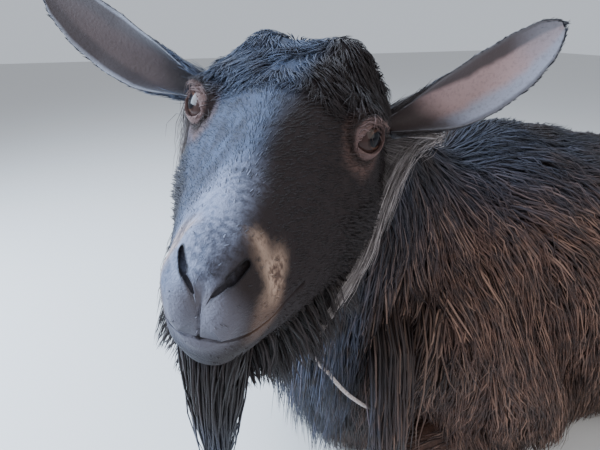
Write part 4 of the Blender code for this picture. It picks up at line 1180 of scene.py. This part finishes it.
def growFaceCoat():
    places, normals = ground.scatterNear(head["at"], 0.26, int(faceCoat["tufts"] * 1.4 * thinning))
    local = headLocal(places)
    part = nearestPart(trees, places)
    x, y, z = local.T
    holes = [(p[0], s * p[1], p[2]) for p in splineRows(nostril["path"], 12) for s in (1, -1)]
    fromEyes = leastAway(local, [eyeFront(s) for s in (1, -1)])
    fromNostrils = leastAway(local, holes)
    inMouth = (np.abs(z + 0.058 - (0.160 - x) * 0.07) < 0.003) & (x > 0.09)
    bare = (leastAway(local, [(0.166, 0, -0.036)]) < 0.013) & (luck.random(len(x)) < 0.8)
    sparse = luck.random(len(x)) <= 0.92 * smooth(x, 0.100, 0.130)
    keep = (part == 0) & (fromEyes > 0.0135) & (fromNostrils > 0.0055) & ~inMouth & ~bare & ~sparse
    places, normals, local = places[keep], normals[keep], local[keep]
    x, y, z = local.T
    count = len(places)
    turn = np.array(headTurn)
    crown = smooth(z, 0.014, 0.044) * (1 - smooth(x, 0.005, 0.050))
    temple = smooth(np.abs(y), 0.040, 0.066) * crown
    jaw = (1 - smooth(z, -0.100, -0.075)) * (1 - smooth(x, 0.100, 0.125))
    backJaw = (1 - smooth(x, -0.050, -0.020)) * (1 - smooth(z, 0.0, 0.03))
    loose = np.maximum(jaw, backJaw)
    cheek = smooth(np.abs(y), 0.035, 0.055) * (1 - smooth(x, 0.020, 0.070)) * (1 - smooth(z, -0.045, -0.010))
    length = 0.0070 + 0.004 * (1 - smooth(x, 0.0, 0.12)) + crown * 0.013 + temple * 0.006 + loose * 0.018
    length = length * (1 - 0.30 * smooth(x, 0.12, 0.16))
    wishLocal = np.stack([-np.ones(count), np.zeros(count), -0.25 - 1.1 * loose], 1)
    wishLocal[:, 0] += 1.7 * crown + 0.5 * loose
    wishLocal[:, 1] += np.clip(y / 0.03, -1, 1) * (0.25 + 0.5 * crown)
    wishLocal[:, 1] += np.sin(x * 110 + np.sin(y * 90) * 2) * crown * 0.8
    wish = wishLocal @ turn.T
    lie = flatten(wish + luck.normal(0, 0.14, (count, 3)), normals)
    length += cheek * 0.006
    lift = 0.0004 + crown * 0.0035 + temple * 0.005 + loose * 0.005 + cheek * 0.006
    length *= luck.uniform(0.75, 1.2, count)
    lift *= luck.uniform(0.4, 1.2, count)
    steps = len(faceCoat["profile"])
    paths, ups = growPaths(places, normals, lie, length, lift, 0.03 + 0.25 * loose, 0.9 - 0.7 * loose, steps)
    curly = (crown > 0.4) | (loose > 0.5)
    paths[curly] = clump(paths[curly], 12, 0.35, 0.0)
    width = 0.0008 + crown * 0.0004 + loose * 0.0006
    patches = unwrapped(np.zeros(count, int), places)
    groups = {
        "coat_face_left": (y >= 0) & (x > -0.01),
        "coat_face_right": (y < 0) & (x > -0.01),
        "coat_poll_left": (y >= 0) & (x <= -0.01),
        "coat_poll_right": (y < 0) & (x <= -0.01),
    }
    for name, chosen in groups.items():
        wide, grown = width[chosen], (paths[chosen], ups[chosen])
        tuftMesh(name, *grown, wide, wide * 0.3, patches[chosen], faceCoat["profile"], faceCoat["tints"])


growFaceCoat()

jawCoat = {
    "tufts": 5500,
    "length": 0.056,
    "clumps": ((24, 0.6), (6, 0.4)),
    "wave": (0.002, 0.8),
    "profile": (0.7, 1.0, 0.9, 0.6),
}


def growJawCoat():
    # long hair under the jaw and down its rear edge
    places, normals = ground.scatterNear(head["at"], 0.26, int(jawCoat["tufts"] * 7 * thinning))
    local = headLocal(places)
    x, y, z = local.T
    under = (1 - smooth(z, -0.105, -0.075)) * (1 - smooth(x, 0.105, 0.130)) * smooth(x, -0.075, -0.060)
    rear = (1 - smooth(x, -0.056, -0.042)) * smooth(x, -0.080, -0.068)
    rear = rear * (1 - smooth(z, -0.01, 0.02)) * smooth(np.abs(y), 0.03, 0.05)
    keep = luck.random(len(x)) < np.maximum(under, rear * 0.7) * 0.8
    places, normals, local, under = places[keep], normals[keep], local[keep], under[keep]
    x, y, z = local.T
    count = len(places)
    wish = np.stack([-0.35 - 0.3 * (1 - under), np.sign(y) * 0.25, np.full(count, -1.0)], 1)
    wish = wish @ np.array(headTurn).T
    direction = unit(wish * 0.8 + normals * 0.5 + luck.normal(0, 0.10, (count, 3)))
    length = jawCoat["length"] * luck.uniform(0.5, 1.1, count) * (0.75 + 0.25 * under)
    lift = luck.random(count) * 0.008
    paths, ups = growPaths(places, normals, direction, length, lift, np.full(count, 0.18), np.zeros(count), 4)
    paths = styled(paths, ups, jawCoat)
    width = luck.uniform(0.0010, 0.0020, count)
    patches = unwrapped(np.zeros(count, int), places)
    tuftMesh("coat_jaw", paths, ups, width, width * 0.3, patches, jawCoat["profile"])


growJawCoat()

fringe = {
    # pale hair that runs from the rear edge of the jaw to the twine, in the head's frame; its paleness is
    # partly painted rim light
    "line": (
        (-0.066, 0.118, 0.016),
        (-0.060, 0.100, 0.004),
        (-0.048, 0.0895, -0.034),
        (-0.020, 0.0830, -0.083),
        (0.026, 0.0698, -0.097),
        (0.056, 0.0580, -0.1125),
        (0.068, 0.0547, -0.122),
    ),
    # the hidden side lies closer to the jaw
    "lineRight": (
        (-0.058, 0.090, 0.004),
        (-0.050, 0.088, -0.034),
        (-0.036, 0.083, -0.086),
        (-0.014, 0.073, -0.120),
        (0.004, 0.062, -0.144),
        (0.012, 0.055, -0.162),
    ),
    "tufts": 2600,
    "spread": 0.0060,
    "profile": (0.6, 1.0, 0.9, 0.5),
}


def growFringe():
    lines = np.array((splineRows(fringe["line"], 101), splineRows(fringe["lineRight"], 101)))
    count = int(fringe["tufts"] * max(thinning, 0.6))
    share = luck.random(count) * 0.94
    side = np.where(luck.random(count) < 0.5, 1.0, -1.0)
    spread = luck.normal(0, 1, (count, 3)) * (fringe["spread"] * (1.0 - share) ** 1.5 + 0.0008)[:, None]
    reach = luck.uniform(0.06, 0.14, count)
    stops = []
    for offset in (-1.0, 0.0, 0.6, 1.0):
        place = lines[(side < 0).astype(int), np.clip((share + reach * offset) * 100, 0, 100).astype(int)]
        stops.append(place + spread * (0.3 if offset < 0 else 1.0))
    local = np.stack(stops, 1)
    local[..., 1] *= side[:, None]
    paths = toWorld(local.reshape(-1, 3), headPlace).reshape(count, 4, 3)
    roots, normals = [], []
    for p in paths[:, 0]:
        place, normal, _, _ = ground.tree.find_nearest(p)
        roots.append(place)
        normals.append(normal)
    roots, normals = np.array(roots), np.array(normals)
    between = (paths[:, 1:] + paths[:, :-1]) / 2
    paths = np.concatenate([(roots - normals * 0.001)[:, None], between, paths[:, -1:]], 1)
    ups = np.repeat(normals[:, None], paths.shape[1], 1)
    width = luck.uniform(0.0006, 0.0012, count)
    patches = unwrapped(np.zeros(count, int), roots)
    tuftMesh("coat_fringe", paths, ups, width, width * 0.35, patches, fringe["profile"], look=fringeLook)


growFringe()

cover = {
    # locks in front of the place where the twine goes under the coat
    "stops": (
        (-0.432, -0.118, 0.285),
        (-0.446, -0.148, 0.245),
        (-0.452, -0.164, 0.205),
        (-0.452, -0.168, 0.160),
        (-0.446, -0.164, 0.120),
    ),
    "tufts": 420,
    "clumps": ((30, 0.4), (6, 0.3)),
    "wave": (0.004, 0.9),
    "profile": (0.6, 1.0, 0.85, 0.55),
}


def growCover():
    count = int(cover["tufts"] * max(thinning, 0.6))
    slide = luck.normal(0, 1, (count, 1, 3)) * np.array((0.011, 0.006, 0.014))
    paths = np.array(cover["stops"])[None] + slide + luck.normal(0, 0.0012, (count, 5, 3))
    for n, p in enumerate(paths[:, 0]):
        place, normal, _, _ = ground.tree.find_nearest(p)
        paths[n, 0] = np.array(place) - np.array(normal) * 0.001
    ups = np.tile(np.array((-0.3, -0.9, 0.3)), (count, 5, 1))
    paths = styled(paths, ups, cover)
    width = luck.uniform(0.0018, 0.0036, count)
    patches = unwrapped(np.full(count, 2), paths[:, 0])
    tuftMesh("coat_cover", paths, ups, width, width * 0.2, patches, cover["profile"])


growCover()

beard = {
    "strands": 2100,
    "length": 0.150,
    "steps": 6,
    "clumps": ((160, 0.35, 0.05), (14, 0.35, 0.1)),
    "wave": (0.004, 1.0),
    "profile": (0.8, 1.0, 1.0, 0.9, 0.75, 0.45),
}


def growBeard():
    count = int(beard["strands"] * max(thinning, 0.6))
    tree = ground.tree
    forward = 0.148 - 0.096 * luck.random(count) ** 1.2
    starts = np.stack([forward, luck.normal(0, 0.0100, count), np.full(count, -0.2)], 1)
    starts[:, 1] = np.clip(starts[:, 1], -0.021, 0.021)
    worldStarts = toWorld(starts, headPlace)
    upDirection = headTurn @ Vector((0, 0, 1))
    roots, normals, kept = [], [], []
    for n, p in enumerate(worldStarts):
        place, normal, _, _ = tree.ray_cast(Vector(p), upDirection)
        if place is not None:
            roots.append(place)
            normals.append(normal)
            kept.append(n)
    roots, normals = np.array(roots), np.array(normals)
    starts = starts[kept]
    count = len(roots)
    steps = beard["steps"]
    length = beard["length"] * (1 - 0.62 * smooth(0.125 - starts[:, 0], 0.0, 0.06))
    length *= luck.uniform(0.35, 1.08, count)
    wish = np.stack([0.06 + (starts[:, 0] - 0.125) * 3, starts[:, 1] * 5, np.full(count, -1.0)], 1)
    direction = unit((wish + luck.normal(0, 0.06, (count, 3))) @ np.array(headTurn).T)
    paths = np.empty((count, steps + 1, 3))
    paths[:, 0] = roots - normals * 0.002
    for k in range(1, steps + 1):
        paths[:, k] = paths[:, k - 1] + direction * (length / steps)[:, None]
        direction = unit(direction * 0.86 + np.array((0, 0, -0.14)))
    facing = np.array(headTurn @ Vector((1, 0, 0)))
    ups = np.tile(facing, (count, steps + 1, 1))
    t = np.linspace(0, 1, steps + 1)[None, :, None]
    middle = paths.mean(0, keepdims=True)
    paths = paths + (middle - paths) * (0.78 * t**0.8) * np.array((1, 1, 0))
    paths = styled(paths, ups, beard)
    width = luck.uniform(0.0009, 0.0019, count)
    patches = unwrapped(np.zeros(count, int), roots)
    tuftMesh("beard", paths, ups, width, width * 0.4, patches, beard["profile"])


growBeard()
print("face coat and beard done")


def earWidthShare(t):
    for (a, low), (b, high) in zip(ear["outline"], ear["outline"][1:]):
        if t <= b:
            s = (t - a) / (b - a)
            return low + (high - low) * s
    return ear["outline"][-1][1]


def earGrid(side, alongSteps, acrossSteps):
    pointsTo = (ear["pointsLeft"] if side > 0 else ear["pointsRight"]).normalized()
    opens = (ear["opens"] - pointsTo * ear["opens"].dot(pointsTo)).normalized()
    across = pointsTo.cross(opens)
    sag = (pointsTo * pointsTo.z - Vector((0, 0, 1))).normalized()
    root = onSide(ear["root"], side)
    outer, inner = [], []
    for i in range(alongSteps):
        t = i / (alongSteps - 1)
        width = ear["width"] * earWidthShare(t)
        curl = math.radians(150 - 105 * min(1.0, t * 1.7) - 15 * t)
        radius = width / (2 * math.sin(curl)) if curl < math.pi / 2 else width / 2
        centre = root + pointsTo * (ear["length"] * t) + sag * (ear["sag"] * math.sin(math.pi * t))
        thick = ear["thickness"] * (1.25 - 0.65 * t)
        for layer, offset in ((outer, thick / 2), (inner, -thick / 2)):
            ring = []
            for j in range(acrossSteps + 1):
                angle = curl * (2 * j / acrossSteps - 1)
                edge = abs(2 * j / acrossSteps - 1)
                r = radius + offset * (1 - 0.6 * edge**4)
                place = across * (math.sin(angle) * r) + opens * (radius - math.cos(angle) * r)
                ring.append(headPlace @ (centre + place))
            layer.append(ring)
    return outer, inner


def buildEar(side, name):
    alongSteps, acrossSteps = 40, 28
    outer, inner = earGrid(side, alongSteps, acrossSteps)
    count = acrossSteps + 1
    points = [p for ring in outer for p in ring] + [p for ring in inner for p in ring]
    base = alongSteps * count
    faces = []
    for i in range(alongSteps - 1):
        for j in range(acrossSteps):
            a, b, c, d = i * count + j, i * count + j + 1, (i + 1) * count + j, (i + 1) * count + j + 1
            faces += [(a, b, d, c), (base + a, base + c, base + d, base + b)]
        for j, flip in ((0, False), (acrossSteps, True)):
            a, c = i * count + j, (i + 1) * count + j
            quad = (a, c, base + c, base + a)
            faces.append(tuple(reversed(quad)) if flip else quad)
    for i, flip in ((0, True), (alongSteps - 1, False)):
        for j in range(acrossSteps):
            a, b = i * count + j, i * count + j + 1
            quad = (a, b, base + b, base + a)
            faces.append(tuple(reversed(quad)) if flip else quad)
    item = newObject(name, points, outward(np.array([tuple(p) for p in points]), faces))
    return smoothShade(item), outer, inner


def earMaterial(name, look):
    sheen = {"Sheen Weight": 0.2, "Sheen Tint": (0.8, 0.88, 1.0, 1.0)}
    material, tree, shader = newMaterial(name, 0.6, {"Specular IOR Level": 0.25, **sheen})
    place = objectPlace(tree)
    hollow, across, along = (attributeOf(tree, kind) for kind in ("hollow", "across", "depth"))
    fine = noiseOf(place, 60.0)
    grain = noiseOf(place, 420.0, 2.0)
    # across runs from -1 at the upper rim to 1 at the lower one
    band = across + fine * 0.22 - along * 0.30
    inside = blendColour(band.between(-0.62, -0.38), look["upper"], look["middle"])
    inside = blendColour((across + fine * 0.3).between(0.35, 0.75), inside, look["lower"])
    inside = blendColour(1 - (along + fine * 0.12 - across * 0.10).between(0.20, 0.42), inside, look["base"])
    inside = blendColour((along + fine * 0.1).between(0.72, 1.0) * 0.6, inside, look["lower"])
    inside = blendColour(grain.between(0.45, 0.75) * 0.25, inside, look["upper"])
    outside = blendColour(fine, colours["black"], (0.040, 0.038, 0.042))
    rim = (across.size() + fine * 0.04).between(0.84, 0.96)
    colour = blendColour(hollow, outside, blendColour(rim * 0.8, inside, look["rim"]))
    feed(shader, "Base Color", colour)
    feed(shader, "Normal", bumpFrom(grain * 0.7 + fine * 0.6, 0.4, 0.001))
    return material


earLooks = {
    1: earMaterial(
        "goat_ear_left",
        {
            "upper": (0.052, 0.038, 0.040),
            "middle": (0.30, 0.205, 0.205),
            "lower": (0.230, 0.235, 0.285),
            "base": (0.035, 0.024, 0.024),
            "rim": (0.075, 0.070, 0.080),
        },
    ),
    # the right ear: a darker copy of the left ear's colours, painted shade; its pale bluish rim is painted
    # rim light
    -1: earMaterial(
        "goat_ear_right",
        {
            "upper": (0.040, 0.030, 0.032),
            "middle": (0.070, 0.050, 0.050),
            "lower": (0.050, 0.040, 0.042),
            "base": (0.018, 0.013, 0.014),
            "rim": (0.200, 0.205, 0.245),
        },
    ),
}


earHair = {
    "tufts": 2600,
    "atRim": 0.38,
    "steps": 3,
    # corner of each ear's hair on the picture of the coat
    "patches": {1: (0.79, 0.40), -1: (0.89, 0.40)},
}


def dressEar(side, name, node):
    item, outer, inner = buildEar(side, name)
    rows, count = len(outer), len(outer[0])
    each = rows * count
    hollow = np.concatenate([np.zeros(each), np.ones(each)])
    setValues(item.data, "hollow", hollow)
    setValues(item.data, "across", np.tile(np.linspace(-1, 1, count), rows * 2))
    setValues(item.data, "depth", np.tile(np.repeat(np.linspace(0, 1, rows), count), 2))
    item.data.materials.append(earLooks[side])
    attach(item, "root")
    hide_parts(node)
    # short hair on the back of the ear, longer along its rims and root
    back = np.array([[tuple(p) for p in ring] for ring in outer])
    front = np.array([[tuple(p) for p in ring] for ring in inner])
    total = int(earHair["tufts"] * max(thinning, 0.5))
    i = luck.uniform(0, rows - 1.001, total)
    j = luck.uniform(0, count - 1.001, total)
    rim = luck.random(total) < earHair["atRim"]
    first = luck.random(rim.sum()) < 0.5
    low, high = luck.uniform(0, 2.0, rim.sum()), luck.uniform(0, 2.0, rim.sum())
    j[rim] = np.where(first, low, count - 1.001 - high)
    a, b = i.astype(int), j.astype(int)
    s, t = (i - a)[:, None], (j - b)[:, None]

    def pick(grid):
        first = grid[a, b] * (1 - s) + grid[a + 1, b] * s
        second = grid[a, b + 1] * (1 - s) + grid[a + 1, b + 1] * s
        return first * (1 - t) + second * t

    roots = pick(back)
    normals = unit(roots - pick(front))
    along = unit(back[a + 1, b] - back[a, b])
    place = i / rows
    outwards = unit(roots - back[a, count // 2])
    length = np.where(rim, 0.0042, 0.006) * luck.uniform(0.6, 1.3, total)
    length *= 1 + 2.4 * (1 - smooth(place, 0.0, 0.40))
    direction = along + outwards * np.where(rim, 0.30, 0.0)[:, None] + normals * 0.06
    direction = unit(direction + luck.normal(0, 0.09, (total, 3)))
    steps = earHair["steps"]
    run = np.linspace(0, 1, steps + 1)[None, :, None]
    paths = (roots - normals * 0.0004)[:, None] + direction[:, None] * length[:, None, None] * run
    paths = paths - normals[:, None] * (run**2 * 0.0012)
    ups = np.repeat(normals[:, None], steps + 1, 1)
    width = luck.uniform(0.0004, 0.0008, total)
    patches = np.array(earHair["patches"][side]) + np.stack([place, j / count], 1) * 0.09
    tuftMesh(name + "_hair", paths, ups, width, width * 0.35, patches, faceCoat["profile"])


dressEar(1, "ear_shell_left", "ear_left")
dressEar(-1, "ear_shell_right", "ear_right")
print("ears done")


def eyeMaterial(side):
    name = "goat_eye_" + ("left" if side > 0 else "right")
    material, tree, shader = newMaterial(name, 0.10, {"Specular IOR Level": 0.16})
    place = objectPlace(tree)
    spot = eyeFrame(side)
    middle = spot.translation + shift + headTurn @ Vector((-0.0035, 0, 0))
    along, across, look = (spot.to_3x3() @ Vector(v) for v in ((1, 0, 0), (0, 1, 0), (0, 0, 1)))
    offset = vectorSum("SUBTRACT", place, tuple(middle))
    u, v, w = dotWith(offset, along), dotWith(offset, across), dotWith(offset, look)
    radius = (u * u + v * v) ** 0.5
    streaks = noiseOf(place, 900.0, 2.0)
    edge = (streaks + radius * 40).between(0.4, 1.0)
    iris = blendColour(edge, (0.085, 0.038, 0.024), (0.032, 0.017, 0.013))
    white = (0.110, 0.062, 0.054)
    colour = blendColour(radius.between(0.0078, 0.0090) + (1 - w.between(0.0, 0.002)), iris, white)
    pupil = 1 - (u * u * 18000.0 + v * v * 36000.0).between(0.80, 1.25)
    colour = blendColour(radius.between(0.0066, 0.0080) * 0.7, colour, (0.012, 0.008, 0.008))
    colour = blendColour(pupil, colour, (0.003, 0.003, 0.005))
    feed(shader, "Base Color", colour)
    return material


for side, word in ((1, "left"), (-1, "right")):
    ball = smoothShade(roundBall("eyeball_" + word, eye["radius"], eyeFrame(side), 64, 48))
    ball.data.materials.append(eyeMaterial(side))
    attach(ball, "root")
    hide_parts("eye_" + word)
print("eyes done")


def hornMaterial():
    material, tree, shader = newMaterial("goat_hoof", 0.5, {"Specular IOR Level": 0.4})
    place = objectPlace(tree)
    values = {"Vector": place, "Scale": 60.0, "Distortion": 3.0, "Detail": 2.0}
    rings = addNode(tree, "ShaderNodeTexWave", {"bands_direction": "X"}, values, 1)
    fine = noiseOf(place, 130.0)
    colour = blendColour(fine * 0.7 + rings * 0.3, (0.030, 0.024, 0.020), (0.105, 0.080, 0.062))
    feed(shader, "Base Color", colour)
    feed(shader, "Roughness", 0.4 + fine * 0.3)
    feed(shader, "Normal", bumpFrom(rings * 0.6 + fine * 0.4, 0.4, 0.0008))
    return material


hornLook = hornMaterial()


def turnOut(mesh):
    work = bmesh.new()
    work.from_mesh(mesh)
    bmesh.ops.recalc_face_normals(work, faces=work.faces)
    work.to_mesh(mesh)
    work.free()


def buildClaw(name, sideSign, place):
    origin, forward = place
    forward = forward.normalized()
    side = forward.cross(Vector((0, 0, 1))).normalized()
    up = side.cross(forward)
    # share of the length, width and height
    stations = (
        (0.0, 0.82, 1.0),
        (0.30, 1.0, 0.98),
        (0.65, 0.92, 0.80),
        (0.88, 0.66, 0.58),
        (1.0, 0.30, 0.34),
    )
    outline = ((-0.5, -0.5), (0.5, -0.5), (0.52, 0.0), (0.34, 0.42), (0.0, 0.5), (-0.34, 0.42), (-0.52, 0.0))
    points, count, faces = [], len(outline), []
    for t, wide, high in stations:
        for u, v in outline:
            across = u * wide * hoof["width"] + sideSign * (hoof["width"] + hoof["slit"]) / 2
            height = (v * high - 0.5 * (1 - high)) * hoof["height"]
            points.append(origin + forward * (hoof["length"] * t) + side * across + up * height)
    for i in range(len(stations) - 1):
        for j in range(count):
            a, b = i * count + j, i * count + (j + 1) % count
            faces.append((a, b, b + count, a + count))
    end = (len(stations) - 1) * count
    faces += [tuple(range(count - 1, -1, -1)), tuple(end + j for j in range(count))]
    for p in points:
        p.z = max(p.z, 0.0006)
    item = newObject(name, points, faces)
    turnOut(item.data)
    bevel = item.modifiers.new("Edges", "BEVEL")
    bevel.width = 0.0022
    bevel.segments = 3
    bevel.limit_method = "ANGLE"
    applied(item)
    item.data.materials.append(hornLook)
    return smoothShade(item)


for kind in ("fore", "hind"):
    for side, word in ((1, "left"), (-1, "right")):
        origin, forward = hoof[kind]
        if side < 0:
            origin, forward = (Vector((v.x, -v.y, v.z)) for v in (origin, forward))
        for sign, which in zip((-1, 1), ("inner", "outer") if side > 0 else ("outer", "inner")):
            claw = buildClaw(f"claw_{kind}_{word}_{which}", sign, (origin, forward))
            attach(claw, "root")
            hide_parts(f"{kind}hoof_{word}_{which}")
print("hooves done")


def twineMaterial():
    material, tree, shader = newMaterial("goat_twine", 0.8)
    place = objectPlace(tree)
    fine = noiseOf(place, 600.0)
    colour = blendColour(fine.between(0.3, 0.7), (0.22, 0.19, 0.185), (0.50, 0.44, 0.43))
    feed(shader, "Base Color", colour)
    feed(shader, "Normal", bumpFrom(fine, 0.5, 0.0005))
    return material


def buildCollar():
    data = np.array(collar["points"])
    count, steps, around = len(data), 420, 16
    centres = []
    for place in np.linspace(0, count, steps, endpoint=False):
        k, t = int(place), place - int(place)
        centres.append(curveThrough(*(data[(k + o) % count] for o in (-1, 0, 1, 2)), t))
    centres = np.array(centres)
    tangents = unit(np.roll(centres, -1, 0) - np.roll(centres, 1, 0))
    side = flatten(centres.mean(0) - centres, tangents)
    rise = np.cross(tangents, side)
    angles = np.linspace(0, 2 * math.pi, around, endpoint=False)
    twist = np.linspace(0, 2 * math.pi * 60, steps, endpoint=False)
    # two strands twisted together show as a lobed section that turns
    radius = collar["radius"] * (0.80 + 0.20 * np.abs(np.cos(angles[None] - twist[:, None])))
    ring = side[:, None] * (radius * np.cos(angles))[..., None]
    ring = ring + rise[:, None] * (radius * np.sin(angles))[..., None]
    points = (centres[:, None] + ring).reshape(-1, 3)
    i, j = np.meshgrid(np.arange(steps), np.arange(around), indexing="ij")
    a, b = i * around + j, i * around + (j + 1) % around
    c, d = ((i + 1) % steps) * around + j, ((i + 1) % steps) * around + (j + 1) % around
    faces = np.stack([a, b, d, c], -1).reshape(-1, 4)
    item = newObject("twine_collar", points, [tuple(f) for f in faces])
    turnOut(item.data)
    item.data.materials.append(twineMaterial())
    return smoothShade(item)


twine = buildCollar()
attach(twine, "root")
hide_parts("collar_cord")

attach(skin, "root")
legNames = [f"{kind}leg_{word}" for kind in ("fore", "hind") for word in ("left", "right")]
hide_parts("torso", "neck", "head", "tail", *legNames)


def buildStage():
    mesh = bpy.data.meshes.new("floor")
    mesh.from_pydata([(-8, -8, 0), (8, -8, 0), (8, 8, 0), (-8, 8, 0)], [], [(0, 1, 2, 3)])
    floor = bpy.data.objects.new("floor", mesh)
    bpy.context.scene.collection.objects.link(floor)
    material, tree, shader = newMaterial("pale_floor", 0.85)
    shader.inputs["Base Color"].default_value = (0.62, 0.61, 0.60, 1.0)
    floor.data.materials.append(material)
    floor.location = (0, 0, -0.0005)
    world = bpy.data.worlds.new("studio")
    bpy.context.scene.world = world
    world.use_nodes = True
    back = world.node_tree.nodes["Background"]
    back.inputs["Color"].default_value = (0.80, 0.86, 0.95, 1.0)
    back.inputs["Strength"].default_value = 0.75


def addLight(name, place, aim, size, power, colour):
    data = bpy.data.lights.new(name, "AREA")
    data.energy = power
    data.size = size
    data.color = colour
    item = bpy.data.objects.new(name, data)
    item.location = Vector(place) + shift
    item.rotation_mode = "QUATERNION"
    item.rotation_quaternion = (Vector(aim) - Vector(place)).to_track_quat("-Z", "Y")
    bpy.context.scene.collection.objects.link(item)


camera = {
    # place in the animal's frame, degrees, focal length in pixels of a picture of this width
    "place": Vector((-0.691, -0.484, 0.601)),
    "azimuth": -22.0,
    "pitch": 24.0,
    "focal": 460.0,
    "picture": 600,
    "sensor": 36.0,
}


def buildCamera():
    data = bpy.data.cameras.new("camera")
    data.sensor_width = camera["sensor"]
    data.lens = camera["focal"] / camera["picture"] * camera["sensor"]
    data.clip_start = 0.02
    item = bpy.data.objects.new("camera", data)
    item.location = camera["place"] + shift
    item.rotation_euler = (math.radians(90 - camera["pitch"]), 0, math.radians(camera["azimuth"]))
    bpy.context.scene.collection.objects.link(item)
    bpy.context.scene.camera = item


buildStage()
# name, place, aim, size, power and colour of each lamp
addLight("key", (-1.9, 0.35, 1.2), (-0.5, -0.1, 0.4), 1.2, 110, (0.68, 0.82, 1.0))
addLight("front", (-1.3, -1.7, 1.5), (-0.4, -0.1, 0.4), 1.6, 9, (1.0, 0.96, 0.92))
addLight("side", (0.9, -1.9, 1.3), (-0.1, -0.1, 0.3), 1.8, 26, (1.0, 0.95, 0.89))
addLight("top", (-0.2, 0.7, 2.2), (-0.3, 0.0, 0.3), 1.6, 40, (0.70, 0.83, 1.0))
buildCamera()
print("stage done")
